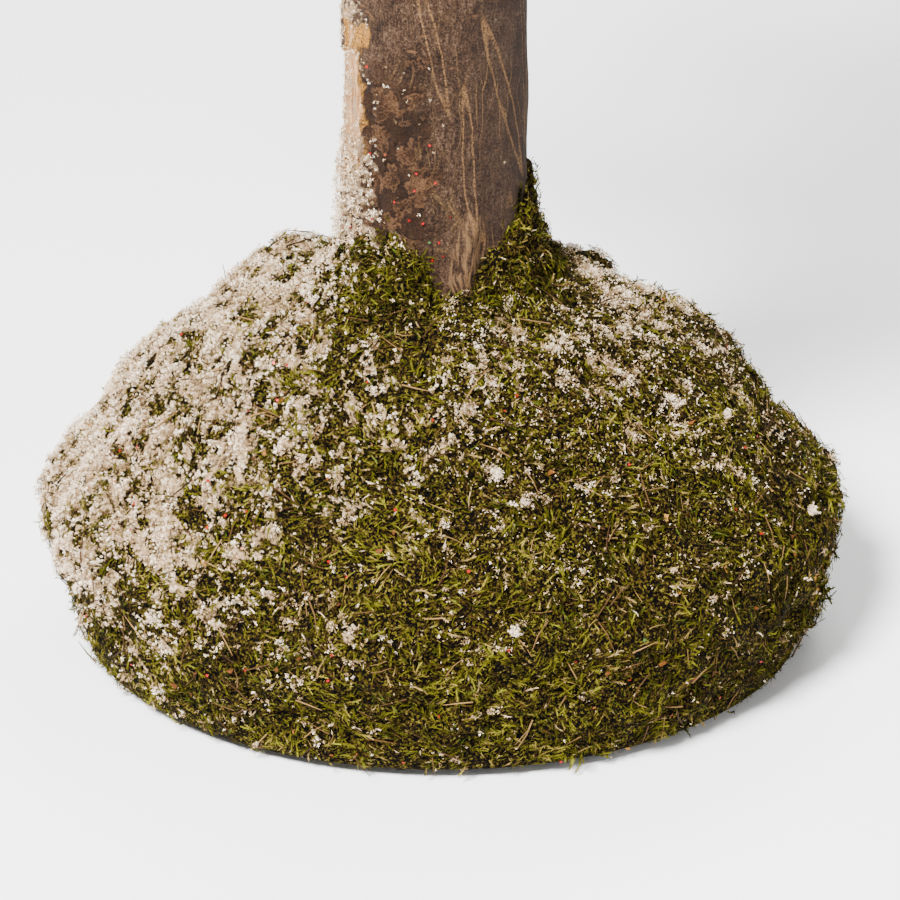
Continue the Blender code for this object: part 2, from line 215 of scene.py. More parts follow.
# Shader maths --------------------------------------------------------------------------------------
class Field:
    """A number that varies over a surface, for maths written as Python expressions."""

    def __init__(self, shader, socket):
        self.shader = shader
        self.socket = socket

    def __add__(self, other):
        return self.shader.maths("ADD", self, other)

    def __sub__(self, other):
        return self.shader.maths("SUBTRACT", self, other)

    def __rsub__(self, other):
        return self.shader.maths("SUBTRACT", other, self)

    def __mul__(self, other):
        return self.shader.maths("MULTIPLY", self, other)

    __radd__ = __add__
    __rmul__ = __mul__

    def between(self, low, high):
        """0 below low and 1 above high, with a smooth rise; low above high turns it round."""
        settings = {"interpolation_type": "SMOOTHSTEP"}
        values = {"Value": self, "From Min": low, "From Max": high}
        return Field(self.shader, self.shader.node("ShaderNodeMapRange", settings, values).outputs[0])


SOCKETS = {"metallic": "Metallic", "specular_ior_level": "Specular IOR Level"}


class Shader:
    """A material under construction, with one method for each kind of step."""

    def __init__(self, name, roughness, **uniform):
        self.material = bpy.data.materials.new(name)
        self.material.use_nodes = True
        self.tree = self.material.node_tree
        self.surface = self.tree.nodes["Principled BSDF"]
        self.surface.inputs["Roughness"].default_value = roughness
        for socket, value in uniform.items():
            self.surface.inputs[SOCKETS[socket]].default_value = value

    def node(self, kind, settings=None, values=None):
        """Adds a node, sets it up and feeds its inputs."""
        made = self.tree.nodes.new(kind)
        for setting, value in (settings or {}).items():
            setattr(made, setting, value)
        for socket, value in (values or {}).items():
            self.feed(made.inputs[socket], value)
        return made

    def feed(self, socket, value):
        """Links a field or a socket, or sets a plain number or colour."""
        if isinstance(value, Field):
            value = value.socket
        if isinstance(value, bpy.types.NodeSocket):
            self.tree.links.new(value, socket)
        elif isinstance(value, tuple) and socket.type == "RGBA":
            socket.default_value = (*value, 1.0)
        else:
            socket.default_value = value

    def maths(self, operation, first, second=0.0):
        """One step of maths on one or two numbers."""
        settings = {"operation": operation}
        return Field(self, self.node("ShaderNodeMath", settings, {0: first, 1: second}).outputs[0])

    def coordinates(self):
        """The Object coordinates as one vector, in metres."""
        return self.node("ShaderNodeTexCoord").outputs["Object"]

    def axes(self, vector):
        """A vector's three numbers."""
        return [Field(self, axis) for axis in self.node("ShaderNodeSeparateXYZ", values={0: vector}).outputs]

    def place(self):
        """The three Object coordinates, in millimetres."""
        return [axis * 1000.0 for axis in self.axes(self.coordinates())]

    def channels(self, colour):
        """A colour's red, green and blue as numbers."""
        split = self.node("ShaderNodeSeparateColor", values={0: colour})
        return [Field(self, channel) for channel in split.outputs]

    def attribute(self, name, output="Fac"):
        """What the mesh stores at each point under this name."""
        return self.node("ShaderNodeAttribute", {"attribute_name": name}).outputs[output]

    def vector(self, x, y, z):
        """A vector of three numbers or fields."""
        return self.node("ShaderNodeCombineXYZ", values={0: x, 1: y, 2: z}).outputs[0]

    def noise(self, vector, size, detail=4.0, roughness=0.55):
        """Noise from 0 to 1 with lumps about size across, in the vector's own units."""
        values = {"Vector": vector, "Scale": 1 / size, "Detail": detail, "Roughness": roughness}
        return Field(self, self.node("ShaderNodeTexNoise", values=values).outputs[0])

    def cells(self, vector, size, feature="F1"):
        """The distance to the middle of the nearest cell, or to its edge."""
        settings = {"feature": feature}
        values = {"Vector": vector, "Scale": 1 / size}
        return Field(self, self.node("ShaderNodeTexVoronoi", settings, values).outputs["Distance"])

    def crumbs(self, vector, size):
        """A random number for each cell of about the given size."""
        cells = self.node("ShaderNodeTexVoronoi", values={"Vector": vector, "Scale": 1 / size})
        return self.channels(cells.outputs["Color"])[0]

    def mix(self, factor, first, second, blend="MIX"):
        """The first colour where factor is 0, and the second blended over it where factor is 1."""
        settings = {"data_type": "RGBA", "clamp_factor": True, "blend_type": blend}
        return self.node("ShaderNodeMix", settings, {0: factor, 6: first, 7: second}).outputs[2]

    def ramp(self, value, stops):
        """A colour from a number, through stops of position and colour."""
        made = self.node("ShaderNodeValToRGB")
        elements = made.color_ramp.elements
        while len(elements) < len(stops):
            elements.new(0.5)
        for element, (position, colour) in zip(elements, stops):
            element.position = position
            element.color = (*colour, 1.0)
        self.feed(made.inputs[0], value)
        return made.outputs[0]

    def bump(self, height, depth, strength=1.0):
        """Relief of depth metres where height runs from 0 to 1."""
        values = {"Height": height, "Distance": depth, "Strength": strength}
        made = self.node("ShaderNodeBump", values=values)
        self.feed(self.surface.inputs["Normal"], made.outputs[0])

    def colour(self, value):
        """Sets what colour the surface has."""
        self.feed(self.surface.inputs["Base Color"], value)

    def rough(self, value):
        """Sets how rough the surface is, from 0 to 1."""
        self.feed(self.surface.inputs["Roughness"], value)


def palette_shader(name, stops, roughness, root_shade=0.04, root_reach=0.7, **uniform):
    """Colour by each small piece's own tone, with painted shade darker towards its root; the tone and the
    place from root to tip are kept in the palette UV map.
    """
    shader = Shader(name, roughness, **{"specular_ior_level": 0.12, **uniform})
    tones, along, _ = shader.axes(shader.node("ShaderNodeUVMap", {"uv_map": PALETTE_UV}).outputs[0])
    tone = shader.ramp(tones, stops)
    # Painted shade: each piece's colour multiplied down by root_shade towards its root.
    dark = shader.mix(1.0, tone, (root_shade,) * 3, "MULTIPLY")
    shader.colour(shader.mix(along.between(-0.05, root_reach), dark, tone))
    return shader.material


# Meshes --------------------------------------------------------------------------------------------
def add_piece(name, mesh, material, body, replaced=()):
    """Puts a finished mesh in the scene on its body, in place of the CAD nodes that it replaces."""
    mesh.materials.clear()
    mesh.materials.append(material)
    piece = bpy.data.objects.new(name, mesh)
    bpy.context.scene.collection.objects.link(piece)
    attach(piece, body)
    if replaced:
        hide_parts(*replaced)
    return piece


def finish_node(name, material):
    """Gives a CAD node that stays in view its material."""
    if name not in frame["nodes"]:
        raise RuntimeError(f"the frame has no node named {name}")
    materials = frame["nodes"][name].data.materials
    materials.clear()
    materials.append(material)


class Template:
    """A small shape made once and repeated: its points, triangles, tones and places from root to tip."""

    def __init__(self, bm, rng, tone_spread):
        bmesh.ops.triangulate(bm, faces=bm.faces)
        bm.verts.index_update()
        self.points = np.array([vertex.co for vertex in bm.verts])
        self.triangles = np.array([[vertex.index for vertex in face.verts] for face in bm.faces])
        self.tones = rng.uniform(-tone_spread, tone_spread, len(self.triangles))
        reach = np.ptp(self.points[:, 0]) or 1.0
        self.along = (self.points[:, 0] - self.points[:, 0].min()) / reach
        bm.free()


def tile(name, templates, places, frames, sizes, tones, rng):
    """One mesh of many copies: frames are 3 by 3 with columns along, across and up.

    A copy that would hang below the base is left out.
    """
    picks = rng.integers(0, len(templates), len(places))
    points, triangles, uvs, first = [], [], [], 0
    for number, template in enumerate(templates):
        chosen = np.flatnonzero(picks == number)
        if not len(chosen):
            continue
        scaled = template.points[None, :, :] * sizes[chosen][:, None, :]
        turned = np.einsum("nij,nvj->nvi", frames[chosen], scaled) + places[chosen][:, None, :]
        clear = turned[:, :, 2].min(axis=1) > LOWEST_Z
        turned, chosen = turned[clear], chosen[clear]
        count = len(template.points)
        starts = first + count * np.arange(len(chosen))
        points.append(turned.reshape(-1, 3))
        triangles.append((template.triangles[None] + starts[:, None, None]).reshape(-1, 3))
        tone = np.clip(tones[chosen][:, None] + template.tones[None], 0.01, 0.99)
        tone = np.repeat(tone[:, :, None], 3, axis=2)
        along = np.broadcast_to(template.along[template.triangles], tone.shape) * 0.96 + 0.02
        uvs.append(np.stack([tone, along], axis=-1).reshape(-1, 2))
        first += count * len(chosen)
    return mesh_of(name, np.concatenate(points), np.concatenate(triangles), np.concatenate(uvs))


def mesh_of(name, points, triangles, uvs):
    """A mesh of loose triangles with their places on the palette UV map."""
    mesh = bpy.data.meshes.new(name)
    mesh.vertices.add(len(points))
    mesh.vertices.foreach_set("co", points.astype(np.float32).ravel())
    mesh.loops.add(3 * len(triangles))
    mesh.loops.foreach_set("vertex_index", triangles.astype(np.int32).ravel())
    mesh.polygons.add(len(triangles))
    mesh.polygons.foreach_set("loop_start", np.arange(0, 3 * len(triangles), 3, dtype=np.int32))
    layer = mesh.uv_layers.new(name=PALETTE_UV)
    layer.data.foreach_set("uv", uvs.astype(np.float32).ravel())
    mesh.update(calc_edges=True)
    mesh.validate()
    return mesh


def even(lengths):
    """The same size along all three axes, for each length."""
    return np.repeat(lengths[:, None], 3, axis=1)


def frames_on(normals, rng, pitch_low, pitch_high, heading=None):
    """Frames that lie on a surface in random directions, with their tips raised by a random pitch."""
    normals = normals / np.linalg.norm(normals, axis=1, keepdims=True)
    if heading is None:
        heading = rng.normal(size=normals.shape)
    along = heading - normals * np.sum(heading * normals, axis=1, keepdims=True)
    along /= np.maximum(np.linalg.norm(along, axis=1, keepdims=True), 1e-9)
    across = np.cross(normals, along)
    pitch = rng.uniform(pitch_low, pitch_high, len(normals))[:, None]
    raised = along * np.cos(pitch) + normals * np.sin(pitch)
    up = normals * np.cos(pitch) - along * np.sin(pitch)
    roll = rng.uniform(-0.9, 0.9, len(normals))[:, None]
    side = across * np.cos(roll) + up * np.sin(roll)
    return np.stack([raised, side, np.cross(raised, side)], axis=2)


def surface_points(mesh, count, rng, weigh=None):
    """Random points over a mesh, with smooth normals; weigh gives each triangle a share."""
    mesh.calc_loop_triangles()
    corners = np.zeros(len(mesh.loop_triangles) * 3, np.int32)
    mesh.loop_triangles.foreach_get("vertices", corners)
    corners = corners.reshape(-1, 3)
    places = np.zeros(len(mesh.vertices) * 3)
    mesh.vertices.foreach_get("co", places)
    places = places.reshape(-1, 3)[corners]
    normals = np.zeros(len(mesh.vertices) * 3)
    mesh.vertices.foreach_get("normal", normals)
    normals = normals.reshape(-1, 3)[corners]
    edges = np.cross(places[:, 1] - places[:, 0], places[:, 2] - places[:, 0])
    shares = np.linalg.norm(edges, axis=1)
    if weigh:
        shares = shares * weigh(places.mean(axis=1), normals.mean(axis=1))
    picks = rng.choice(len(shares), count, p=shares / shares.sum())
    weights = rng.dirichlet((1, 1, 1), count)[:, :, None]
    return (places[picks] * weights).sum(axis=1), (normals[picks] * weights).sum(axis=1)


def in_order(bm):
    """Sorts the points and faces by place, because a spin leaves them in no fixed order."""
    for rank, vertex in enumerate(sorted(bm.verts, key=lambda vertex: vertex.co[:])):
        vertex.index = rank
    bm.verts.sort()
    faces = sorted(bm.faces, key=lambda face: sorted(vertex.index for vertex in face.verts))
    for rank, face in enumerate(faces):
        face.index = rank
    bm.faces.sort()


def spun(profile, steps, turn=2 * math.pi):
    """A closed ring, or a wedge of one, from a closed profile of (radius, z) points."""
    bm = bmesh.new()
    corners = [bm.verts.new((radius, 0, z)) for radius, z in profile]
    edges = [bm.edges.new(pair) for pair in zip(corners, corners[1:] + corners[:1])]
    geometry = [*corners, *edges]
    full = turn >= 2 * math.pi
    if not full:
        geometry.append(bm.faces.new(corners))
    bmesh.ops.spin(
        bm, geom=geometry, axis=(0, 0, 1), angle=turn, steps=steps, use_merge=full, use_duplicate=False
    )
    in_order(bm)
    bmesh.ops.recalc_face_normals(bm, faces=bm.faces)
    bm.normal_update()
    return bm


def to_mesh(name, bm, smooth=True):
    """A mesh from bm, which is freed."""
    mesh = bpy.data.meshes.new(name)
    bm.to_mesh(mesh)
    bm.free()
    if smooth:
        mesh.shade_smooth()
    return mesh


def with_snow(mesh):
    """The mesh, with how much flock lies at each of its points as an attribute."""
    places = np.array([vertex.co for vertex in mesh.vertices])
    normals = np.array([vertex.normal for vertex in mesh.vertices])
    flock = mesh.attributes.new("flock", "FLOAT", "POINT")
    flock.data.foreach_set("value", snow_cover(places, normals).astype(np.float32))
    return mesh


# Small shapes --------------------------------------------------------------------------------------
def leaf(bm, root, direction, length, width, rng):
    """A flat pointed scrap that starts at root."""
    direction = Vector(direction).normalized()
    spin = Matrix.Rotation(rng.uniform(0, math.pi), 4, "X")
    turn = direction.to_track_quat("X", "Z").to_matrix().to_4x4()
    size = Matrix.Diagonal((length / 1.5, width / 1.7, 1, 1))
    shift = Matrix.Translation((length / 3, 0, 0))
    point_out = Matrix.Rotation(-math.pi / 2, 4, "Z")
    matrix = Matrix.Translation(root) @ turn @ spin @ shift @ size @ point_out
    bmesh.ops.create_circle(bm, cap_ends=True, segments=3, radius=1, matrix=matrix)


def moss_sprig(rng):
    """A curled stem, one unit long, with small leaves down both sides."""
    bm = bmesh.new()
    bmesh.ops.create_grid(bm, x_segments=2, y_segments=1, size=0.5)
    bmesh.ops.translate(bm, vec=(0.5, 0, 0), verts=bm.verts)
    bmesh.ops.scale(bm, vec=(1, 0.11, 1), verts=bm.verts)
    for side in (-1, 1):
        for step in range(3):
            root = Vector((0.12 + 0.28 * step + rng.uniform(-0.08, 0.08), 0, 0))
            lean = Vector((rng.uniform(0.4, 0.9), side * rng.uniform(0.3, 0.8), rng.uniform(-0.3, 0.5)))
            leaf(bm, root, lean, rng.uniform(0.24, 0.44), rng.uniform(0.08, 0.14), rng)
    curl = rng.uniform(-1.5, 1.5)
    arch = rng.uniform(-0.2, 0.7)
    for vertex in bm.verts:
        x = vertex.co.x
        vertex.co.y += curl * x * x * 0.45
        vertex.co.z += arch * x * (1 - x)
    return Template(bm, rng, 0.045)


def flock_fluff(rng):
    """A ball of short stray fibres, one unit across."""
    bm = bmesh.new()
    for _ in range(14):
        place = Vector(rng.normal(size=3)).normalized() * rng.uniform(0.05, 0.42)
        direction = Vector(rng.normal(size=3)).normalized()
        leaf(bm, place, direction, rng.uniform(0.24, 0.42), rng.uniform(0.12, 0.24), rng)
    return Template(bm, rng, 0.12)


def flock_speck(rng):
    """A pinch of a few fibres, one unit across."""
    bm = bmesh.new()
    for _ in range(6):
        place = Vector(rng.normal(size=3)).normalized() * rng.uniform(0.05, 0.3)
        direction = Vector(rng.normal(size=3)).normalized()
        leaf(bm, place, direction, rng.uniform(0.35, 0.6), rng.uniform(0.2, 0.36), rng)
    return Template(bm, rng, 0.1)


def dry_needle(rng):
    """A bent dry needle, one unit long."""
    bm = bmesh.new()
    turn = Matrix.Rotation(math.pi / 2, 4, "Y")
    for half in range(2):
        place = Matrix.Translation((0.25 + 0.5 * half, 0, 0)) @ turn
        radii = (0.03, 0.026) if not half else (0.026, 0.01)
        bmesh.ops.create_cone(
            bm, cap_ends=False, segments=3, radius1=radii[0], radius2=radii[1], depth=0.5, matrix=place
        )
    bmesh.ops.remove_doubles(bm, verts=bm.verts, dist=0.001)
    bend = rng.uniform(-0.6, 0.6)
    for vertex in bm.verts:
        vertex.co.y += bend * vertex.co.x * (1 - vertex.co.x)
    return Template(bm, rng, 0.02)


def leaf_bit(rng):
    """A curled scrap of dead leaf, one unit across."""
    bm = bmesh.new()
    bmesh.ops.create_circle(bm, cap_ends=True, segments=6, radius=0.5)
    bmesh.ops.poke(bm, faces=bm.faces)
    bmesh.ops.scale(bm, vec=(1, rng.uniform(0.35, 0.7), 1), verts=bm.verts)
    for vertex in bm.verts:
        vertex.co += Vector(rng.uniform(-0.14, 0.14, 3))
        vertex.co.z += 0.5 * vertex.co.x**2
    return Template(bm, rng, 0.1)


def glitter_flake(rng):
    """A flat six-sided flake, one unit across."""
    bm = bmesh.new()
    bmesh.ops.create_circle(bm, cap_ends=True, segments=6, radius=0.5)
    return Template(bm, rng, 0.0)


def green_needle(rng):
    """A narrow fir needle, one unit long, bent slightly up."""
    bm = bmesh.new()
    bmesh.ops.create_circle(bm, cap_ends=True, segments=4, radius=0.5)
    bmesh.ops.translate(bm, vec=(0.5, 0, 0), verts=bm.verts)
    bmesh.ops.scale(bm, vec=(1, 0.13, 1), verts=bm.verts)
    lift = rng.uniform(0.0, 0.12)
    for vertex in bm.verts:
        vertex.co.z += lift * vertex.co.x * (1.4 - vertex.co.x)
    return Template(bm, rng, 0.03)


def twig_stick(rng):
    """A plain thin stick, one unit long, that tapers to its tip."""
    bm = bmesh.new()
    turn = Matrix.Translation((0.5, 0, 0)) @ Matrix.Rotation(math.pi / 2, 4, "Y")
    bmesh.ops.create_cone(bm, cap_ends=True, segments=5, radius1=0.5, radius2=0.22, depth=1, matrix=turn)
    return Template(bm, rng, 0.02)


# Materials -----------------------------------------------------------------------------------------
def moss_tones(green):
    """From black painted shade in the gaps through dead brown, living green and straw to strands under
    flock.
    """
    return [
        # Painted shade: the lowest stops are near black, standing for shade in the gaps between strands.
        (0.00, (0.0012, 0.0007, 0.0003)),
        (0.12, (0.0100, 0.0060, 0.0013)),
        (0.20, (0.0520, 0.0300, 0.0060)),
        (0.27, (0.1050, 0.0680, 0.0170)),
        (0.295, (0.0420, 0.0700, 0.0070)),
        (0.32, (0.0170, 0.0160, 0.0013)),
        (0.45, (0.0520, 0.0470, 0.0035)),
        (0.58, green),
        (0.66, (0.1450, 0.1380, 0.0140)),
        (0.71, (0.1800, 0.1150, 0.0260)),
        (0.79, (0.2600, 0.1800, 0.0800)),
        (0.84, (0.4600, 0.3250, 0.1850)),
        (1.00, (0.8200, 0.6400, 0.4500)),
    ]


def flock_tones(white):
    """From painted shade on flock deep in the moss to the flock's own colour on top."""
    return [(0.0, (0.08, 0.042, 0.015)), (0.35, (0.46, 0.30, 0.15)), (1.0, white)]


def needle_tones(green):
    """Greens, then twig brown, then flocked needles."""
    return [
        (0.00, (0.012, 0.030, 0.010)),
        (0.30, (0.040, 0.085, 0.022)),
        (0.55, green),
        (0.62, (0.150, 0.100, 0.055)),
        (0.70, (0.150, 0.100, 0.055)),
        (0.74, (0.560, 0.540, 0.470)),
        (1.00, (0.900, 0.880, 0.840)),
    ]


LITTER_TONES = [(0.0, (0.012, 0.005, 0.002)), (0.5, (0.065, 0.030, 0.009)), (1.0, (0.24, 0.14, 0.05))]
LEAF_TONES = [(0.0, (0.030, 0.008, 0.002)), (0.6, (0.115, 0.034, 0.005)), (1.0, (0.25, 0.12, 0.02))]
GLITTER_TONES = [(0.0, (0.26, 0.004, 0.004)), (0.9, (0.26, 0.004, 0.004)), (1.0, (0.01, 0.12, 0.03))]


def bed_material():
    """Moss seen between the strands, with painted shade: almost black in its pits, olive on its crests, and
    a darkened flock tan under flock.
    """
    shader = Shader("moss_bed", 0.95, specular_ior_level=0.05)
    place = shader.coordinates()
    x, y, z = shader.place()
    clumps = shader.noise(place, 3.4 * MM, 5.0, 0.65)
    grain = shader.noise(place, 0.7 * MM, 3.0, 0.6)
    mixed = clumps * 0.6 + grain * 0.4
    crumb = shader.crumbs(shader.vector(x + grain * 0.6, y + clumps * 0.6, z), 0.42)
    # Painted shade: the ramp runs to almost black where the clumps and grain are low, for the pits between
    # the strands.
    moss = shader.ramp(
        mixed * 0.5 + crumb * 0.36,
        [
            (0.34, (0.0004, 0.0002, 0.0001)),
            (0.44, (0.0030, 0.0017, 0.0004)),
            (0.50, (0.0220, 0.0120, 0.0022)),
            (0.55, (0.0300, 0.0240, 0.0018)),
            (0.62, (0.1000, 0.0800, 0.0090)),
            (0.70, (0.2200, 0.1500, 0.0600)),
        ],
    )
    flock = Field(shader, shader.attribute("flock"))
    ragged = flock + grain * 0.9 + clumps * 0.5 - 0.7
    # Under flock: the flock's colour darkened, painted shade between the fluffs.
    shader.colour(shader.mix(ragged.between(0.45, 0.75), moss, (0.30, 0.20, 0.11)))
    shader.bump(mixed, 1.2 * MM, 0.9)
    return shader.material


class BarkShader(Shader):
    """Smooth young fir bark, on patterns that run round the trunk and up it in millimetres."""

    ARC_PER_RADIAN = 20.0

    def __init__(self, colours):
        super().__init__("fir_bark", 0.8, specular_ior_level=0.15)
        self.colours = colours
        x, y, self.z = self.place()
        self.arc = self.maths("ARCTAN2", x - TRUNK_X / MM, y * -1.0) * self.ARC_PER_RADIAN
        self.flat = self.vector(self.arc, self.z, 0.0)
        self.sway = self.noise(self.flat, 14.0, 2.0) - 0.5
        self.grain = self.noise(self.vector(self.arc + self.sway * 5.0, self.z * 0.16, 0.0), 0.9, 6.0, 0.7)
        self.blotch = self.noise(self.flat, 7.0, 6.0, 0.65)
        self.speckle = self.noise(self.flat, 0.5, 4.0, 0.8)
        self.rubbed = self.speckle.between(0.36, 0.56)
        marks = self.attribute("marks", "Color")
        self.peel, self.scab, self.flock = self.channels(marks)
        self.fold = Field(self, self.attribute("marks", "Alpha"))

    def skin(self):
        """Grey brown bark, with painted shade that makes it darker and cooler towards the right."""
        crumb = self.crumbs(self.vector(self.arc, self.z * 0.8, self.speckle), 0.30)
        brown = self.ramp(
            self.blotch * 0.26 + self.grain * 0.26 + self.speckle * 0.36 + crumb * 0.12,
            [
                (0.40, (0.0030, 0.0011, 0.0004)),
                (0.47, (0.0180, 0.0080, 0.0034)),
                (0.53, self.colours.bark),
                (0.62, (0.1000, 0.0600, 0.0360)),
            ],
        )
        # Painted shade: a darker, cooler brown mixed in towards the right side.
        right_shade = self.ramp(self.speckle, [(0.3, (0.0060, 0.0032, 0.0022)), (0.7, (0.0400, 0.0235, 0.0170))])
        return self.mix(self.arc.between(-2.0, 22.0) * 0.45, brown, right_shade)

    def ridges(self):
        """Long loops where the bark has stretched, wide ones and narrow ones."""
        wide_place = self.vector(self.arc * 0.16 + self.sway * 0.8, self.z * 0.026, 3.0)
        wide = self.cells(wide_place, 0.9, "DISTANCE_TO_EDGE") + self.grain * 0.05
        some = self.noise(self.vector(self.arc * 0.07, self.z * 0.03, 8.0), 1.0, 2.0).between(0.42, 0.6)
        narrow_place = self.vector(self.arc * 0.3 + self.sway * 1.6, self.z * 0.05, 11.0)
        narrow = self.cells(narrow_place, 0.9, "DISTANCE_TO_EDGE") + self.grain * 0.06
        here = self.noise(self.vector(self.arc * 0.09, self.z * 0.05, 30.0), 1.0, 2.0).between(0.5, 0.62)
        wide_ridge = wide.between(0.062, 0.030) * some * self.rubbed
        return wide_ridge + narrow.between(0.07, 0.035) * here * self.rubbed

    def stretched(self, marked):
        """Tan outlines of the listed stretch marks."""
        for turn, level, width, height, slant in STRETCH_MARKS:
            middle = math.radians(turn) * self.ARC_PER_RADIAN
            wander = self.sway * 2.0 + self.grain * 0.8 - 0.4
            across = (self.arc - middle - (self.z - level) * slant + wander) * (1 / width)
            along = (self.z - level) * (1 / height)
            outline = across * across + along * along
            ring = outline.between(0.60, 0.90) * outline.between(1.42, 1.10)
            marked = self.mix(ring * self.speckle.between(0.40, 0.56) * 0.8, marked, (0.185, 0.098, 0.038))
        return marked

    def lenticels(self):
        """Short dashes that lie level."""
        dashes = self.cells(self.vector(self.arc * 0.22, self.z * 0.75, 5.0), 1.9).between(0.17, 0.10)
        few = self.noise(self.vector(self.arc, self.z, 20.0), 6.0, 1.0).between(0.5, 0.62)
        return dashes * few

    def rusty(self, marked):
        """The scab's rust, raised flakes, painted shade where the flakes are low, and cracks, with the
        cracks on their own for the relief.
        """
        rust = self.ramp(
            self.speckle * 0.6 + self.blotch * 0.4,
            [
                (0.41, (0.0025, 0.0008, 0.0002)),
                (0.50, (0.0400, 0.0145, 0.0045)),
                (0.61, (0.14, 0.066, 0.027)),
            ],
        )
        marked = self.mix(self.scab.between(0.2, 0.9) * 0.75, marked, rust)
        place = self.vector(self.arc + self.speckle * 2.4, self.z * 0.8 + self.grain * 2.0, 0.0)
        flakes = self.noise(place, 4.2, 3.0, 0.6)
        scabbed = self.scab.between(0.3, 0.8)
        cracks = flakes.between(0.44, 0.485) * flakes.between(0.515, 0.495) * scabbed * self.rubbed
        edges = flakes.between(0.515, 0.53) * flakes.between(0.58, 0.54) * scabbed
        # Painted shade: darker where the flake pattern is low.
        sunk_shade = flakes.between(0.49, 0.42) * scabbed
        marked = self.mix(edges * 0.4, marked, (0.17, 0.082, 0.036))
        marked = self.mix(sunk_shade * 0.6, marked, (0.016, 0.0062, 0.0022))
        return self.mix(cracks * 0.8, marked, (0.006, 0.002, 0.001)), cracks

    def peeled(self, marked):
        """Bare wood inside a golden rim."""
        wood = self.ramp(
            self.grain * 0.6 + self.speckle * 0.4,
            [(0.40, (0.12, 0.042, 0.012)), (0.5, (0.36, 0.175, 0.070)), (0.62, self.colours.wood)],
        )
        gold = self.ramp(self.speckle, [(0.42, (0.06, 0.018, 0.003)), (0.56, (0.36, 0.17, 0.030))])
        marked = self.mix(self.peel.between(0.03, 0.22), marked, gold)
        return self.mix((self.peel + self.speckle * 0.5).between(0.85, 1.2), marked, wood)

    def dotted(self, marked):
        """Pale spots, dark pits, the fold at the foot, and dust of flock."""
        some = self.noise(self.flat, 4.0, 2.0).between(0.55, 0.66)
        pale = self.cells(self.flat, 1.7).between(0.13, 0.05) * some
        marked = self.mix(pale * 0.45, marked, (0.30, 0.22, 0.15))
        few = self.noise(self.flat, 7.0, 2.0).between(0.5, 0.6)
        pits = self.cells(self.vector(self.arc, self.z, 40.0), 2.6).between(0.12, 0.05) * few
        marked = self.mix(pits * 0.85, marked, (0.004, 0.002, 0.001))
        streaks = self.fold.between(0.1, 0.5) * self.grain.between(0.44, 0.58)
        marked = self.mix(streaks * 0.8, marked, (0.125, 0.068, 0.030))
        dust = (self.flock * 0.75 + self.speckle * 1.6 - 1.1).between(0.15, 0.5)
        return self.mix(dust, marked, (0.30, 0.20, 0.115))

    def finish(self):
        """The finished material, with every layer over the one before it."""
        ridges = self.ridges()
        lenticels = self.lenticels()
        marked = self.mix(ridges * 0.6, self.skin(), (0.210, 0.115, 0.045))
        marked = self.stretched(marked)
        marked = self.mix(lenticels * 0.7, marked, (0.105, 0.050, 0.022))
        marked, cracks = self.rusty(marked)
        self.colour(self.dotted(self.peeled(marked)))
        self.rough(0.74 + self.speckle * 0.25)
        relief = self.grain * 0.45 + self.speckle * 0.35 + ridges * 0.35 - lenticels * 0.2
        self.bump(relief + self.scab * self.speckle * 0.8 - cracks * 0.8, 1.3 * MM)
        return self.material


def plain_material(name, dark, light, size, roughness, depth, **uniform):
    """An even finish with grain of one size."""
    shader = Shader(name, roughness, **uniform)
    grain = shader.noise(shader.coordinates(), size, 6.0, 0.65)
    shader.colour(shader.ramp(grain, [(0.35, dark), (0.65, light)]))
    shader.bump(grain, depth)
    return shader.material


# Settings ------------------------------------------------------------------------------------------
class ColourSettings(bpy.types.PropertyGroup):
    """The main colour of each finish"""

    moss: FloatVectorProperty(
        name="Moss",
        description="Living moss",
        default=(0.0880, 0.0800, 0.0060),
        min=0,
        max=1,
        subtype="COLOR",
    )
    # The flock's own colour; the darker flock tones under it are painted shade.
    flock: FloatVectorProperty(
        name="Snow flock",
        description="The driest flock, on top",
        default=(0.97, 0.82, 0.63),
        min=0,
        max=1,
        subtype="COLOR",
    )
    bark: FloatVectorProperty(
        name="Bark",
        description="The bark's brown",
        default=(0.0380, 0.0190, 0.0095),
        min=0,
        max=1,
        subtype="COLOR",
    )
    wood: FloatVectorProperty(
        name="Wood",
        description="The palest wood where the bark is peeled",
        default=(0.58, 0.34, 0.17),
        min=0,
        max=1,
        subtype="COLOR",
    )
    needles: FloatVectorProperty(
        name="Needles",
        description="The lightest green of the fir needles",
        default=(0.085, 0.150, 0.045),
        min=0,
        max=1,
        subtype="COLOR",
    )


class MoundSettings(bpy.types.PropertyGroup):
    """How much moss, litter and flock lies on the mound"""

    sprigs: IntProperty(name="Sprigs", description="Moss sprigs in each quarter", default=19000, min=1)
    tuft_sprigs: IntProperty(name="Tuft sprigs", description="Moss sprigs on a tuft", default=3600, min=1)
    fluffs: IntProperty(name="Flock", description="Tufts of flock in each quarter", default=13500, min=1)
    needles: IntProperty(name="Needles", description="Dry needles in the moss", default=720, min=1)
    leaf_bits: IntProperty(name="Leaf bits", description="Scraps of dead leaf", default=170, min=1)
    glitter: IntProperty(name="Glitter", description="Glitter flakes", default=130, min=1)
    lump: FloatProperty(
        name="Lumps", description="Height of the mound's lumps", default=2.1 * MM, subtype="DISTANCE"
    )


class TrunkSettings(bpy.types.PropertyGroup):
    """How fine the trunk's bark is and what stuck to it"""

    sides: IntProperty(name="Sides", description="Faces round the trunk", default=150, min=12)
    fluffs: IntProperty(name="Flock", description="Tufts of flock on the bark", default=8200, min=1)
    glitter: IntProperty(name="Glitter", description="Glitter flakes on the bark", default=46, min=1)
    relief: FloatProperty(
        name="Relief", description="Depth of the bark's relief", default=0.45 * MM, subtype="DISTANCE"
    )


class CrownSettings(bpy.types.PropertyGroup):
    """How long and how close the fir needles are"""

    needle: FloatProperty(
        name="Needle", description="Length of a fir needle", default=11 * MM, subtype="DISTANCE"
    )
    spacing: FloatProperty(
        name="Spacing", description="Between needles along a shoot", default=0.36 * MM, subtype="DISTANCE"
    )


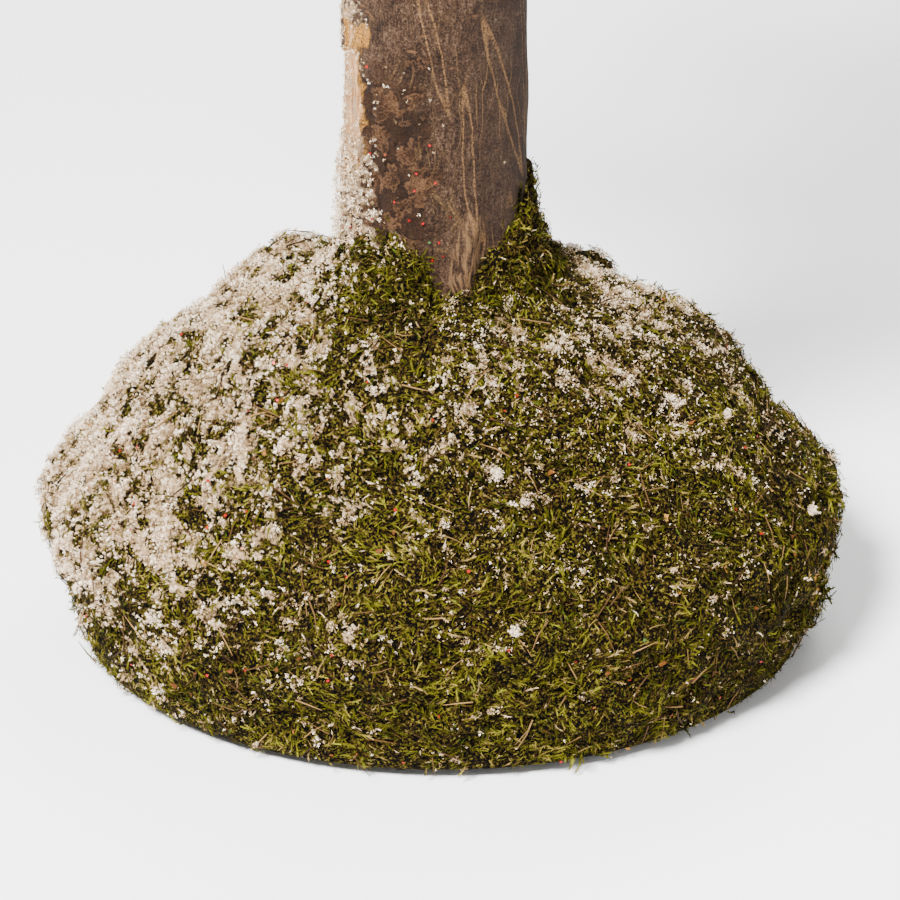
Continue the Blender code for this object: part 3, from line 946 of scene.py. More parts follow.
class StudioSettings(bpy.types.PropertyGroup):
    """Where the camera stands and what the tree stands on"""

    distance: FloatProperty(
        name="Distance", description="From the camera to its target", default=0.9, subtype="DISTANCE"
    )
    elevation: FloatProperty(
        name="Elevation", description="Camera above level", default=math.radians(23.1), subtype="ANGLE"
    )
    lens: FloatProperty(name="Lens", description="Focal length in millimetres", default=160.8)
    target: FloatVectorProperty(
        name="Target", description="Where the camera looks", default=(1.5 * MM, 0, 40.4 * MM), subtype="XYZ"
    )
    floor: FloatVectorProperty(
        name="Floor", description="Floor colour", default=(0.97, 0.97, 0.97), subtype="COLOR"
    )


# Pieces --------------------------------------------------------------------------------------------
class TREE_OT_stage(bpy.types.Operator):
    """Lay the pale floor, set up soft studio light and aim the camera"""

    bl_idname = "tree.stage"
    bl_label = "Studio"

    def execute(self, context):
        studio = context.scene.tree_studio
        bm = bmesh.new()
        bmesh.ops.create_grid(bm, x_segments=1, y_segments=1, size=6)
        floor = bpy.data.objects.new("floor", to_mesh("floor", bm, smooth=False))
        floor.data.materials.append(self.floor_material(studio))
        context.scene.collection.objects.link(floor)
        self.light("key", place=(-0.55, -1.00, 1.25), size=0.5, power=150)
        self.light("fill", place=(1.1, -0.9, 0.6), size=1.1, power=8)
        self.light("back", place=(0.3, 1.2, 1.1), size=0.9, power=26)
        world = bpy.data.worlds.new("studio")
        world.use_nodes = True
        sky = world.node_tree.nodes["Background"]
        sky.inputs["Color"].default_value = (1, 1, 1, 1)
        sky.inputs["Strength"].default_value = 0.5
        context.scene.world = world
        camera = bpy.data.objects.new("camera", bpy.data.cameras.new("camera"))
        context.scene.collection.objects.link(camera)
        back = Vector((0, -math.cos(studio.elevation), math.sin(studio.elevation)))
        camera.location = Vector(studio.target) + back * studio.distance
        camera.rotation_euler = (-back).to_track_quat("-Z", "Y").to_euler()
        camera.data.lens = studio.lens
        camera.data.sensor_width = 36
        camera.data.clip_start = 0.05
        context.scene.camera = camera
        return {"FINISHED"}

    def floor_material(self, studio):
        """A plain matt finish in the floor's colour."""
        shader = Shader("floor", 0.9)
        shader.surface.inputs["Base Color"].default_value = (*studio.floor, 1)
        return shader.material

    def light(self, name, place, size, power):
        """A round lamp, hidden from the camera and aimed just above the mound."""
        light = bpy.data.lights.new(name, "AREA")
        light.shape = "DISK"
        light.size = size
        light.energy = power
        lamp = bpy.data.objects.new(name, light)
        lamp.location = place
        lamp.rotation_euler = (Vector((0, 0, 0.1)) - Vector(place)).to_track_quat("-Z", "Y").to_euler()
        lamp.visible_camera = False
        bpy.context.scene.collection.objects.link(lamp)


class TREE_OT_base(bpy.types.Operator):
    """Finish the felt, board, screw, washer, ballast and foam under the moss"""

    bl_idname = "tree.base"
    bl_label = "Base"

    def execute(self, context):
        finish_node("felt_pad", plain_material("felt", (0.010,) * 3, (0.030,) * 3, 0.5 * MM, 0.95, 0.2 * MM))
        board = plain_material("painted_board", (0.008,) * 3, (0.016,) * 3, 3 * MM, 0.6, 0.05 * MM)
        finish_node("base_board", board)
        steel = plain_material("steel", (0.5,) * 3, (0.62,) * 3, 2 * MM, 0.35, 0.02 * MM, metallic=1.0)
        finish_node("coach_screw", steel)
        finish_node("washer", steel)
        cement = plain_material("cement", (0.30, 0.29, 0.27), (0.46, 0.45, 0.42), 4 * MM, 0.9, 0.4 * MM)
        finish_node("cement_ballast", cement)
        foam = plain_material("foam", (0.70, 0.70, 0.66), (0.84, 0.84, 0.80), 1.6 * MM, 0.8, 0.4 * MM)
        finish_node("foam_mound", foam)
        return {"FINISHED"}


class TREE_OT_trunk(bpy.types.Operator):
    """Model the trunk with its bark, peeled strip, scab and branch collars"""

    bl_idname = "tree.trunk"
    bl_label = "Trunk"

    # From, to and step of the rings: coarse in the moss, finest where the bark shows its marks.
    RINGS = [
        (TRUNK_FOOT_Z, BARK_SHOWS_Z, 5 * MM),
        (BARK_SHOWS_Z, BARK_FINE_TO_Z, 0.85 * MM),
        (BARK_FINE_TO_Z, TRUNK_TOP_Z, 2.4 * MM),
    ]

    def execute(self, context):
        trunk = context.scene.tree_trunk
        colours = context.scene.tree_colours
        heights = []
        for low, high, step in self.RINGS:
            heights += list(np.linspace(low, high, round((high - low) / step), endpoint=False))
        heights.append(TRUNK_TOP_Z)
        bm = bmesh.new()
        corners = [bm.verts.new((trunk_radius(z), 0, z)) for z in heights]
        edges = [bm.edges.new(pair) for pair in zip(corners, corners[1:])]
        bmesh.ops.spin(
            bm, geom=[*corners, *edges], axis=(0, 0, 1), angle=2 * math.pi, steps=trunk.sides, use_merge=True
        )
        bmesh.ops.translate(bm, vec=(TRUNK_X, 0, 0), verts=bm.verts)
        rims = [edge for edge in bm.edges if edge.is_boundary]
        bmesh.ops.holes_fill(bm, edges=rims, sides=0)
        in_order(bm)
        bmesh.ops.recalc_face_normals(bm, faces=bm.faces)
        bm.verts.ensure_lookup_table()
        points = np.array([vertex.co for vertex in bm.verts])
        peel, scab, flock, fold = trunk_marks(points)
        outward = points - np.array([TRUNK_X, 0, 0])
        outward[:, 2] = 0
        outward /= np.maximum(np.linalg.norm(outward, axis=1, keepdims=True), 1e-9)
        shift = self.relief(points, peel, scab, fold, trunk.relief)
        shift[points[:, 2] < BARK_SHOWS_Z] = 0
        for vertex, direction, distance in zip(bm.verts, outward, shift):
            vertex.co += Vector(direction) * distance
        mesh = to_mesh("bark", bm)
        mesh.set_sharp_from_angle(angle=math.radians(60))
        marks = mesh.attributes.new("marks", "FLOAT_COLOR", "POINT")
        channels = np.stack([peel, scab, flock, fold], axis=1)
        marks.data.foreach_set("color", channels.astype(np.float32).ravel())
        add_piece("bark", mesh, BarkShader(colours).finish(), STAND, ["trunk"])
        self.add_flock(mesh, trunk.fluffs, trunk.glitter, colours.flock)
        return {"FINISHED"}

    def relief(self, points, peel, scab, fold, depth):
        """How far the bark stands out at each point."""
        turn = np.degrees(np.arctan2(points[:, 0] - TRUNK_X, -points[:, 1]))
        z = points[:, 2] / MM
        stretched = points * np.array([1, 1, 0.12])
        streaks = field_noise(stretched, 2.6 * MM)
        lumps = field_noise(points, 17 * MM)
        rough = field_noise(points, 1.6 * MM)
        flakes = field_noise(points, 3.1 * MM)
        shift = depth * (0.55 * streaks + 1.6 * lumps + 0.12 * rough)
        shift += scab * (0.8 * rough + 1.3 * flakes + 0.4) * MM
        shift -= peel * 0.9 * MM
        shift += np.exp(-((peel - 0.4) ** 2) / 0.03) * 0.35 * MM
        shift += fold * (1.2 + 0.9 * streaks) * MM
        lip = np.exp(-(((turn + 30) / 12) ** 2)) * np.exp(-(((z - 113 - turn * 0.06) / 1.1) ** 2))
        shift -= lip * 0.9 * MM
        for joint in frame["joints"]:
            away = np.linalg.norm(points - np.array(joint["pos_m"]), axis=1)
            shift += 1.1 * MM * np.exp(-((away / (4.5 * MM)) ** 2))
        return shift

    def add_flock(self, mesh, count, flakes, white):
        """Flock and glitter that stuck to the bark."""
        rng = np.random.default_rng(21)
        places, normals = surface_points(mesh, count, rng, self.cover)
        low = smoothstep(122 * MM, 100 * MM, places[:, 2])
        sizes = even(rng.uniform(0.45, 1.1, count) * (1 + 0.4 * low) * MM)
        frames = frames_on(normals, rng, -0.5, 0.8)
        fluffs = [flock_fluff(rng) for _ in range(6)]
        tones = np.clip(rng.uniform(0.05, 0.85, count) + 0.1, 0, 1)
        lift = (0.1 + low * rng.uniform(0, 1.6, count))[:, None] * MM
        made = tile("bark_flock", fluffs, places + normals * lift, frames, sizes, tones, rng)
        add_piece("bark_flock", made, palette_shader("flock_on_bark", flock_tones(white), 0.9, 0.7), STAND)
        places, normals = surface_points(mesh, flakes, rng, self.front)
        sizes = np.full((flakes, 3), 0.65 * MM)
        frames = frames_on(normals, rng, -0.1, 0.1)
        lifted = places + normals * 0.25 * MM
        flake = glitter_flake(rng)
        tones = rng.uniform(0, 1, flakes)
        made = tile("bark_glitter", [flake], lifted, frames, sizes, tones, rng)
        add_piece("bark_glitter", made, palette_shader("glitter_on_bark", GLITTER_TONES, 0.35, 0.9), STAND)

    def cover(self, points, normals):
        """Where flock caught on the bark, thinner further up."""
        thin = 0.2 + 0.8 * smoothstep(180 * MM, 155 * MM, points[:, 2])
        _, scab, flock, _ = trunk_marks(points)
        rim = scab * smoothstep(118 * MM, 130 * MM, points[:, 2] + 5 * MM * field_noise(points, 4 * MM))
        return (flock**1.3 + 0.06 * rim + 0.003) * thin

    def front(self, points, normals):
        """Glitter caught low on the bark's front and its left side."""
        low = smoothstep(128 * MM, 96 * MM, points[:, 2]) + 0.10 * (points[:, 2] < 160 * MM)
        left = smoothstep(6 * MM, -10 * MM, points[:, 0])
        return low * left * (points[:, 2] > 84 * MM) * (points[:, 1] < 0)


class TREE_OT_mound(bpy.types.Operator):
    """Model the moss mound: its bed, strands, dry needles, leaf bits, glitter and flock"""

    bl_idname = "tree.mound"
    bl_label = "Mound"

    SECTORS = 300
    MOUTH_RADIUS = 17 * MM
    FLUFFS_IN_LUMP = 64
    SPRIGS_IN_STRAY = 9

    def execute(self, context):
        mound = context.scene.tree_mound
        colours = context.scene.tree_colours
        rng = np.random.default_rng(5)
        bed = self.bed(mound.lump)
        add_piece("moss_bed", bed, bed_material(), STAND, ["moss_mat"])
        moss = palette_shader("moss_strands", moss_tones(colours.moss), 0.9, specular_ior_level=0.03)
        flock = palette_shader("snow_flock", flock_tones(colours.flock), 0.92, 0.6)
        sprigs = [moss_sprig(rng) for _ in range(14)]
        fluffs = [flock_fluff(rng) for _ in range(8)]
        specks = [flock_speck(rng) for _ in range(8)]
        for quarter in range(4):
            middle = math.pi / 4 + quarter * math.pi / 2
            name = f"moss_strands_{quarter + 1}"
            add_piece(name, self.strands(name, bed, sprigs, mound.sprigs, middle, rng), moss, STAND)
        for number, (side, depth) in enumerate(((-1, -1), (-1, 1), (1, -1), (1, 1))):
            name = f"snow_flock_{number + 1}"
            shapes = fluffs if side < 0 else specks
            add_piece(name, self.fluff(name, bed, shapes, mound.fluffs, side, depth, rng), flock, STAND)
        self.litter(bed, mound, rng)
        add_piece("flock_lumps", self.lumps(fluffs, rng), flock, STAND)
        add_piece("stray_sprigs", self.strays(sprigs, rng), moss, STAND)
        return {"FINISHED"}

    def spots(self, listed, copies, spread, rng):
        """Places and outward directions round each listed spot."""
        places, outward = [], []
        for degrees, z, size in listed:
            turn = math.radians(degrees)
            heading = np.array([math.cos(turn), math.sin(turn), 0])
            middle = heading * mound_radius(z) + np.array([0, 0, z])
            places.append(middle + rng.normal(0, spread * size, (copies, 3)))
            outward.append(np.repeat((heading + [0, 0, z / MOUND_HEIGHT])[None], copies, axis=0))
        return np.concatenate(places), np.concatenate(outward)

    def lumps(self, fluffs, rng):
        """Heaps of flock that stand out from the mound."""
        places, outward = self.spots(FLOCK_LUMPS, self.FLUFFS_IN_LUMP, 0.24, rng)
        sizes = even(rng.uniform(0.6, 1.2, len(places)) * MM)
        tones = rng.uniform(0.6, 0.99, len(places))
        return tile("flock_lumps", fluffs, places, frames_on(outward, rng, -0.6, 0.9), sizes, tones, rng)

    def strays(self, sprigs, rng):
        """Sprigs that stand out from the mound."""
        places, outward = self.spots(STRAY_SPRIGS, self.SPRIGS_IN_STRAY, 0.22, rng)
        longest = np.repeat([size for _, _, size in STRAY_SPRIGS], self.SPRIGS_IN_STRAY)
        sizes = even(longest * rng.uniform(0.6, 1.1, len(places)))
        tones = rng.uniform(0.40, 0.66, len(places))
        return tile("stray_sprigs", sprigs, places, frames_on(outward, rng, 0.3, 1.1), sizes, tones, rng)

    def profile(self):
        """The bed's outline, fine outside and coarse inside, as a list of outside points and one of inside
        points.
        """
        leans = np.linspace(0, math.pi / 2, 74)
        radii = self.MOUTH_RADIUS + (MOUND_RADIUS - 0.6 * MM - self.MOUTH_RADIUS) * np.sin(leans)
        outside = [(radius, float(mound_height(radius, 0.6 * MM))) for radius in radii]
        for z in np.linspace(MOUND_WIDEST_Z, HEM_Z, 26)[1:]:
            outside.append((skirt_radius(z, 0.6 * MM), z))
        inside = [(skirt_radius(z, MAT_THICKNESS), z) for z in np.linspace(HEM_Z, MOUND_WIDEST_Z, 4)]
        full = MOUND_RADIUS - MAT_THICKNESS
        for lean in np.linspace(math.pi / 2, 0, 12)[1:]:
            radius = self.MOUTH_RADIUS + (full - self.MOUTH_RADIUS) * math.sin(lean)
            inside.append((radius, float(mound_height(radius, MAT_THICKNESS))))
        return outside, inside

    def bed(self, lump):
        """The mat as one closed ring, lumpy outside and smooth inside."""
        outside, inside = self.profile()
        bm = spun(outside + inside, self.SECTORS)
        points = np.array([vertex.co for vertex in bm.verts])
        normals = np.array([vertex.normal for vertex in bm.verts])
        radial = np.stack([np.hypot(points[:, 0], points[:, 1]), points[:, 2]], axis=1)
        from_outside = np.linalg.norm(radial[:, None] - np.array(outside)[None], axis=2).min(axis=1)
        shift = np.clip(self.relief(points, lump), -3.2 * MM, 6 * MM)
        shift = np.where(from_outside < 0.1 * MM, shift, 0)
        shift = shift * smoothstep(HEM_Z, HEM_Z + 9 * MM, points[:, 2])
        for vertex, normal, distance in zip(bm.verts, normals, shift):
            vertex.co += Vector(normal) * distance
        return with_snow(to_mesh("moss_bed", bm))

    def relief(self, points, lump):
        """How far the moss stands out at each point."""
        hills = field_noise(points, 24 * MM)
        knobs = field_noise(points, 7 * MM)
        crumbs = field_noise(points, 2.4 * MM)
        shift = lump * (1.3 * hills + 1.15 * knobs + 0.5 * crumbs)
        # The upper moss on the left stands out over a groove.
        turn = np.degrees(np.arctan2(points[:, 1], -points[:, 0]))
        left = np.exp(-((turn / 48) ** 2))
        z = points[:, 2] / MM
        shift += left * (1.6 * np.exp(-(((z - 33) / 9) ** 2)) - 3.0 * np.exp(-(((z - 17) / 5) ** 2))) * MM
        right = np.exp(-(((np.degrees(np.arctan2(points[:, 1], points[:, 0])) - 14) / 52) ** 2))
        shift += right * (1.2 - 4.6 * np.exp(-(((z - 47) / 12) ** 2)) - 1.0 * smoothstep(55, 62, z)) * MM
        for place, height, width in SHOULDERS:
            away = points - np.array(place) * MM
            shift += height * MM * np.exp(-np.sum(away**2, axis=1) / (width * MM) ** 2)
        return shift

    def outer_only(self, points, normals):
        """0 on the bed's inner wall, its mouth and its hem, and 1 outside."""
        towards = points - np.array([0, 0, 24 * MM])
        facing = np.sum(towards * normals, axis=1)
        radius = np.hypot(points[:, 0] - TRUNK_X, points[:, 1])
        return (facing > 0) * (radius > TRUNK_FOOT_RADIUS) * (points[:, 2] > HEM_Z + 0.2 * MM)

    def strands(self, name, bed, sprigs, count, middle, rng):
        """The moss strands of the quarter round middle."""
        def weigh(points, normals):
            """1 outside within the quarter, and 0 elsewhere."""
            turn = np.arctan2(points[:, 1], points[:, 0]) - middle
            near = np.cos(turn) > math.cos(math.pi / 4)
            return self.outer_only(points, normals) * near

        places, normals = surface_points(bed, count, rng, weigh)
        return tile_strands(name, sprigs, places, normals, rng)

    def fluff(self, name, bed, fluffs, count, side, depth, rng):
        """The flock of the quarter to one side, in front or behind."""
        def weigh(points, normals):
            """How much flock lies outside within the quarter."""
            cover = snow_cover(points, normals) ** 1.2 + 0.0008
            if side > 0:
                cover = cover + 0.022 * smoothstep(0.3, 0.9, points[:, 2] / MOUND_HEIGHT)
            here = (points[:, 0] * side > 0) * (points[:, 1] * depth > 0)
            return self.outer_only(points, normals) * cover * here

        places, normals = surface_points(bed, count, rng, weigh)
        lift = rng.uniform(0.2, 1.5, count)[:, None] * MM
        fine = 0.62 if side > 0 else 1.0
        sizes = even(fine * (0.55 + 0.85 * rng.random(count) ** 2) * MM)
        frames = frames_on(normals, rng, -0.6, 0.9)
        # Painted shade: flock low in the moss or in the pits of the relief gets darker tones, lifted flock
        # brighter ones.
        relief = 0.5 * field_noise(places, 7 * MM) + 0.6 * field_noise(places, 2.4 * MM)
        relief = relief + 0.5 * field_noise(places, 1.1 * MM)
        tones = 0.22 + 0.30 * lift[:, 0] / MM + relief + rng.normal(0, 0.17, count) - 0.2 * (1 - fine)
        tones = np.clip(tones, 0.02, 0.98)
        return tile(name, fluffs, places + normals * lift, frames, sizes, tones, rng)

    def litter(self, bed, mound, rng):
        """Dry needles, scraps of leaf and glitter, lying on the moss."""
        kinds = [
            ("dry_needles", dry_needle, mound.needles, (2.5, 8.0), LITTER_TONES, {}, 0.8),
            ("leaf_bits", leaf_bit, mound.leaf_bits, (0.8, 2.0), LEAF_TONES, {}, 0.7),
            ("glitter", glitter_flake, mound.glitter, (0.6, 0.85), GLITTER_TONES, {"metallic": 0.2}, 0.35),
        ]
        for name, make, count, (short, long), tones, uniform, roughness in kinds:
            places, normals = surface_points(bed, count, rng, self.outer_only)
            sizes = even(rng.uniform(short, long, count) * MM)
            frames = frames_on(normals, rng, -0.08, 0.12)
            lifted = places + normals * rng.uniform(0.6, 1.3, count)[:, None] * MM
            templates = [make(rng) for _ in range(5)]
            made = tile(name, templates, lifted, frames, sizes, rng.uniform(0, 1, count), rng)
            add_piece(name, made, palette_shader(name, tones, roughness, 0.9, **uniform), STAND)


def tile_strands(name, sprigs, places, normals, rng, stretch=1.0, pitch=(-0.15, 0.32), shade=0.0):
    """Moss sprigs over a surface: in drifts of light and dark, with painted shade in the pits between
    crests, dusted where flock fell.
    """
    count = len(places)
    broad = field_noise(places, 17 * MM)
    crest = field_noise(places, 3.4 * MM)
    # The crest part of the drift is painted shade: strands lower in the pits darker, those on crests
    # lighter.
    drift = field_noise(places, 6 * MM) * 0.20 + broad * 0.24 + crest * 0.24
    tones = np.clip(0.45 - shade + drift + rng.normal(0, 0.09, count), 0.30, 0.69)
    # Dead strands take the darkest tones, black included; more of them in the pits and fewer on crests, as
    # painted shade.
    dead = rng.random(count) < 0.46 + shade - 0.5 * broad + 0.40 * field_noise(places, 7 * MM) - 0.5 * crest
    tones = np.where(dead, rng.triangular(0.0, 0.15, 0.30, count), tones)
    straw = rng.random(count) < 0.045
    tones = np.where(straw, rng.uniform(0.69, 0.80, count), tones)
    cover = snow_cover(places, normals)
    dusted = rng.random(count) < cover * 0.75 + 0.02
    tones = np.where(dusted, rng.uniform(0.78, 0.97, count), tones)
    length = (0.9 + 3.1 * rng.random(count) ** 2.4) * MM * np.where(dusted, 0.6, 1.0) * stretch
    length = length * (1 - 0.4 * cover) * np.where(tones < 0.3, 0.72, 1.0)
    sizes = np.stack([length, length * rng.uniform(0.6, 1.0, count), length * 0.8], axis=1)
    combed = [field_noise(places + offset * MM, 8 * MM) for offset in (100, 200, 300)]
    heading = 2.2 * np.stack(combed, axis=1) + rng.normal(0, 0.4, places.shape)
    frames = frames_on(normals, rng, *pitch, heading)
    lifted = places + normals * (rng.uniform(-0.2, 0.8, count) + 0.9 * crest)[:, None] * MM
    tips = lifted[:, 2] + frames[:, 2, 0] * length
    kept = tips > HEM_Z
    return tile(name, sprigs, lifted[kept], frames[kept], sizes[kept], tones[kept], rng)


class TREE_OT_tufts(bpy.types.Operator):
    """Model the moss tufts that climb the trunk"""

    bl_idname = "tree.tufts"
    bl_label = "Tufts"

    FLUFFS = 900

    def execute(self, context):
        mound = context.scene.tree_mound
        looks = [bpy.data.materials.get(name) for name in ("moss_bed", "moss_strands", "snow_flock")]
        if None in looks:
            raise RuntimeError("The tufts wear the mound's materials, so the mound comes first")
        bed_look, moss, flock = looks
        rng = np.random.default_rng(11)
        sprigs = [moss_sprig(rng) for _ in range(14)]
        for node, start, end, peak, height, reach in TUFTS:
            core = self.core(node, start, end, peak, height, reach)
            add_piece(node + "_core", core, bed_look, STAND, [node])
            places, normals = surface_points(core, mound.tuft_sprigs, rng, self.facing_out)
            strands = tile_strands(node + "_strands", sprigs, places, normals, rng, 0.85, (-0.45, 0.5), 0.06)
            add_piece(node + "_strands", strands, moss, STAND)
            if node == "moss_tuft_left":
                add_piece("tuft_flock", self.fluff(core, rng), flock, STAND)
        return {"FINISHED"}

    def fluff(self, core, rng):
        """Flock on a tuft, nearly all of it far out on the left."""
        places, normals = surface_points(core, self.FLUFFS, rng, self.facing_out)
        sizes = even(rng.uniform(0.7, 1.9, self.FLUFFS) * MM)
        keep = rng.random(self.FLUFFS) < smoothstep(-15 * MM, -25 * MM, places[:, 0]) + 0.03
        fluffs = [flock_fluff(rng) for _ in range(6)]
        frames = frames_on(normals, rng, -0.6, 0.9)[keep]
        lifted = (places + normals * 0.9 * MM)[keep]
        tones = rng.uniform(0.2, 0.98, keep.sum())
        return tile("tuft_flock", fluffs, lifted, frames, sizes[keep], tones, rng)

    def facing_out(self, points, normals):
        """1 where a tuft faces away from the trunk, and 0 elsewhere."""
        towards = points - np.array([TRUNK_X, 0, 0])
        return (towards[:, 0] * normals[:, 0] + towards[:, 1] * normals[:, 1] > 0) * 1.0

    def core(self, name, start, end, peak, height, reach):
        """A ragged wedge of moss, as high as its peak says and low at both ends."""
        inner = TRUNK_FOOT_RADIUS - 1.5 * MM
        base = float(mound_height(inner + reach)) - 2 * MM
        top = float(mound_height(inner))
        slope = [
            (inner + reach * share**1.3, top + height * (1 - share) ** 0.8 - 6 * MM * share)
            for share in np.linspace(0, 1, 14)
        ]
        bm = spun([*slope, (inner + reach, base), (inner, base)], 60, end - start)
        bmesh.ops.rotate(bm, matrix=Matrix.Rotation(start, 3, "Z"), verts=bm.verts)
        bmesh.ops.translate(bm, vec=(TRUNK_X, 0, 0), verts=bm.verts)
        points = np.array([vertex.co for vertex in bm.verts])
        turn = np.arctan2(points[:, 1], points[:, 0] - TRUNK_X)
        share = ((turn - start) % (2 * math.pi)) / (end - start)
        bump = np.where(share < peak, share / peak, (1 - share) / (1 - peak))
        bump = 0.3 + 0.7 * np.clip(bump, 0, 1) ** 0.8
        ragged = field_noise(points, 4 * MM) * 5.0 * MM
        floor = mound_height(np.hypot(points[:, 0], points[:, 1])) - 2 * MM
        above = np.maximum(points[:, 2] - floor, 0)
        raised = floor + above * bump + ragged * bump * (above > 1 * MM)
        heights = np.where(points[:, 2] > floor, raised, points[:, 2])
        bulges = field_noise(points + 50 * MM, 3.5 * MM) * 2.4 * MM
        for vertex, z, bulge in zip(bm.verts, heights, bulges):
            vertex.co.z = z
            vertex.co += Vector((vertex.co.x - TRUNK_X, vertex.co.y, 0)).normalized() * bulge
        bm.normal_update()
        return with_snow(to_mesh(name + "_core", bm))


class TREE_OT_crown(bpy.types.Operator):
    """Dress every branch and the leader with twigs, needles and flock"""

    bl_idname = "tree.crown"
    bl_label = "Crown"

    def execute(self, context):
        crown = context.scene.tree_crown
        green = context.scene.tree_colours.needles
        rng = np.random.default_rng(3)
        self.kit = {
            "needles": [green_needle(rng) for _ in range(6)],
            "stick": [twig_stick(rng)],
            "fluff": [flock_fluff(rng) for _ in range(6)],
        }
        look = palette_shader("flocked_needles", needle_tones(green), 0.75, 0.7)
        for joint in frame["joints"]:
            node = joint["child"]
            self.add_branch(node, np.array(joint["pos_m"]), node, look, crown, rng)
        top = np.array([TRUNK_X, 0, TRUNK_TOP_Z])
        self.add_branch("leader", top, STAND, look, crown, rng)
        return {"FINISHED"}

    def add_branch(self, node, mouth, body, look, crown, rng):
        """Shoots down both sides of a wired stem, each full of needles, inside the plain solid's shape."""
        solid = np.array([vertex.co for vertex in frame["nodes"][node].data.vertices])
        tip = solid[np.argmax(np.linalg.norm(solid - mouth, axis=1))]
        length = np.linalg.norm(tip - mouth)
        along = (tip - mouth) / length
        across = np.cross([0, 0, 1.0], along)
        if np.linalg.norm(across) < 0.2:
            across = np.array([1.0, 0, 0])
        across /= np.linalg.norm(across)
        up = np.cross(along, across)
        half = np.ptp(solid @ across) / 2
        sticks, needles = [], []
        self.shoot(mouth, along, up, length * 0.95, 1.5 * MM, 0.07, crown, sticks, needles, rng)
        count = max(5, round(length / (8.5 * MM)))
        for number in range(count):
            share = 0.10 + 0.80 * number / count
            swell = math.sin(math.pi * min(1.0, share * 1.15 + 0.12)) ** 0.7
            for side in (-1, 1):
                lean = rng.uniform(0.75, 1.0)
                lift = rng.uniform(-0.1, 0.28)
                heading = along * math.cos(lean) + across * side * math.sin(lean) + up * lift
                heading /= np.linalg.norm(heading)
                reach = max(4 * MM, (half - 4 * MM) * swell / math.sin(lean))
                root = mouth + along * length * (share + rng.uniform(-0.02, 0.02))
                self.shoot(root, heading, up, reach, 0.7 * MM, 0.0, crown, sticks, needles, rng)
        meshes = [
            self.tile_sticks(sticks, rng),
            self.tile_needles(needles, up, rng),
            self.tile_flock(needles, up, rng),
        ]
        add_piece(node + "_spray", self.joined(node + "_spray", meshes), look, body, [node])

    def shoot(self, root, heading, up, length, thickness, bare, crown, sticks, needles, rng):
        """Notes one shoot's stick and the needles round it."""
        across = np.cross(up, heading)
        across /= np.linalg.norm(across)
        over = np.cross(heading, across)
        frame_of_stick = np.stack([heading, across, over], axis=1)
        sticks.append((root, frame_of_stick, (length, thickness * 2, thickness * 2)))
        count = round(length * (1 - bare) / crown.spacing)
        for share in rng.uniform(bare, 1, count):
            turn = rng.uniform(-0.45, math.pi + 0.45)
            outward = across * math.cos(turn) + over * math.sin(turn) * 0.75
            lean = rng.uniform(0.5, 0.95)
            direction = heading * math.cos(lean) + outward * math.sin(lean)
            size = crown.needle * rng.uniform(0.65, 1.0) * (1 - 0.35 * share)
            needles.append((root + heading * length * share, direction, size))

    def tile_sticks(self, sticks, rng):
        """The brown stem of every shoot."""
        places = np.array([stick[0] for stick in sticks])
        frames = np.array([stick[1] for stick in sticks])
        sizes = np.array([stick[2] for stick in sticks])
        return tile("sticks", self.kit["stick"], places, frames, sizes, np.full(len(places), 0.66), rng)

    def tile_needles(self, needles, up, rng):
        """Fir needles, green or white. The more they point up, the more are white."""
        places = np.array([needle[0] for needle in needles])
        directions = np.array([needle[1] for needle in needles])
        directions /= np.linalg.norm(directions, axis=1, keepdims=True)
        lengths = np.array([needle[2] for needle in needles])
        sides = np.cross(directions, up + rng.normal(0, 0.5, directions.shape))
        sides /= np.linalg.norm(sides, axis=1, keepdims=True)
        frames = np.stack([directions, sides, np.cross(directions, sides)], axis=2)
        sizes = even(lengths)
        greens = np.clip(rng.normal(0.32, 0.13, len(places)), 0.02, 0.56)
        white = rng.random(len(places)) < 0.14 + 0.5 * np.clip(directions @ up, 0, 1)
        tones = np.where(white, rng.uniform(0.74, 0.97, len(places)), greens)
        return tile("needles", self.kit["needles"], places, frames, sizes, tones, rng)

    def tile_flock(self, needles, up, rng):
        """Flock caught on the top of a spray."""
        picks = rng.choice(len(needles), max(8, len(needles) // 12), replace=False)
        places = np.array([needles[pick][0] for pick in picks])
        places = places + up * rng.uniform(0.8, 3.2, len(picks))[:, None] * MM
        places += rng.normal(0, 1.2 * MM, places.shape)
        normals = np.repeat(np.array(up)[None], len(picks), axis=0)
        frames = frames_on(normals, rng, -0.6, 0.6)
        sizes = even(rng.uniform(1.6, 4.2, len(picks)) * MM)
        tones = rng.uniform(0.8, 0.99, len(picks))
        return tile("flock", self.kit["fluff"], places, frames, sizes, tones, rng)

    def joined(self, name, meshes):
        """One mesh of several, which are deleted."""
        bm = bmesh.new()
        for mesh in meshes:
            bm.from_mesh(mesh)
            bpy.data.meshes.remove(mesh)
        return to_mesh(name, bm, smooth=False)


class TREE_PT_panel(bpy.types.Panel):
    """Lists the tree's pieces and their settings"""

    bl_label = "Tabletop Tree"
    bl_idname = "TREE_PT_panel"
    bl_space_type = "VIEW_3D"
    bl_region_type = "UI"
    bl_category = "Tree"

    def draw(self, context):
        for operator in OPERATORS:
            self.layout.operator(operator.bl_idname)
        for group_name in GROUPS:
            group = getattr(context.scene, group_name)
            for name in group.__annotations__:
                self.layout.prop(group, name)


OPERATORS = [TREE_OT_stage, TREE_OT_base, TREE_OT_trunk, TREE_OT_mound, TREE_OT_tufts, TREE_OT_crown]
GROUPS = {
    "tree_colours": ColourSettings,
    "tree_mound": MoundSettings,
    "tree_trunk": TrunkSettings,
    "tree_crown": CrownSettings,
    "tree_studio": StudioSettings,
}


def register():
    """Registers the settings, the operators and the panel."""
    for name, group in GROUPS.items():
        bpy.utils.register_class(group)
        setattr(bpy.types.Scene, name, PointerProperty(type=group))
    for operator in OPERATORS:
        bpy.utils.register_class(operator)
    bpy.utils.register_class(TREE_PT_panel)


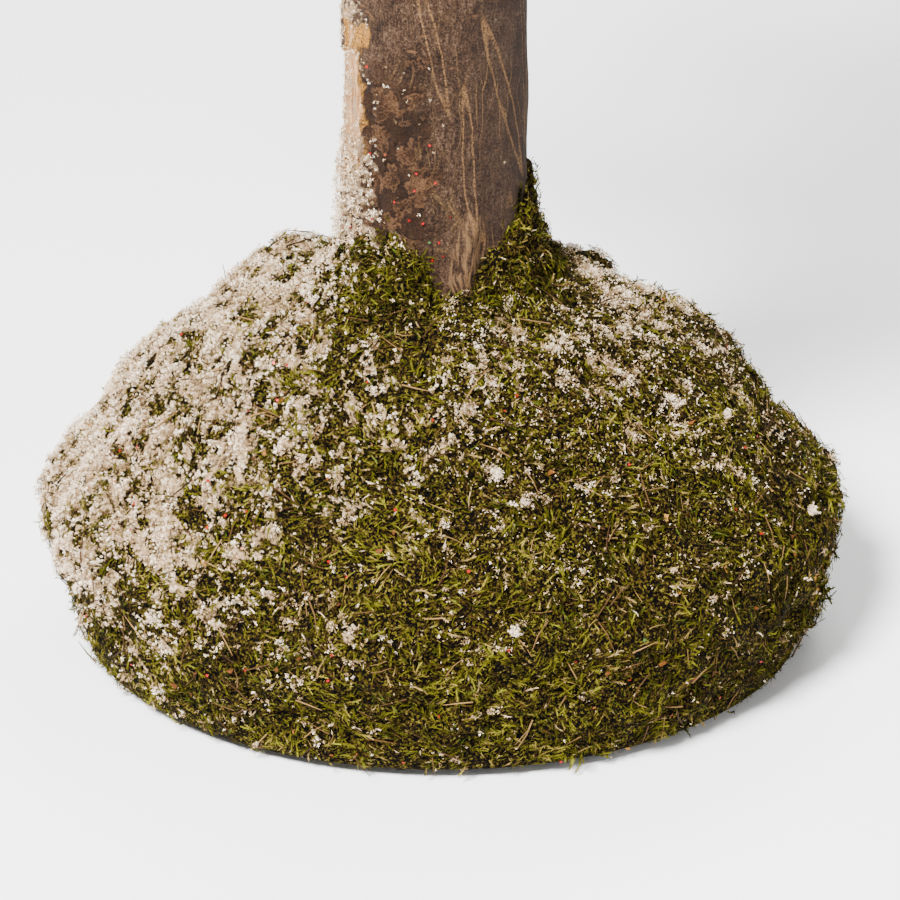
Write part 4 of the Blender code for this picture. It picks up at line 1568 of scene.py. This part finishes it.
def unregister():
    """Takes away what register added, in reverse."""
    bpy.utils.unregister_class(TREE_PT_panel)
    for operator in reversed(OPERATORS):
        bpy.utils.unregister_class(operator)
    for name, group in reversed(GROUPS.items()):
        delattr(bpy.types.Scene, name)
        bpy.utils.unregister_class(group)


def main():
    """Builds the whole tree."""
    register()
    bpy.ops.tree.stage()
    bpy.ops.tree.base()
    bpy.ops.tree.trunk()
    bpy.ops.tree.mound()
    bpy.ops.tree.tufts()
    bpy.ops.tree.crown()


if __name__ == "__main__":
    main()
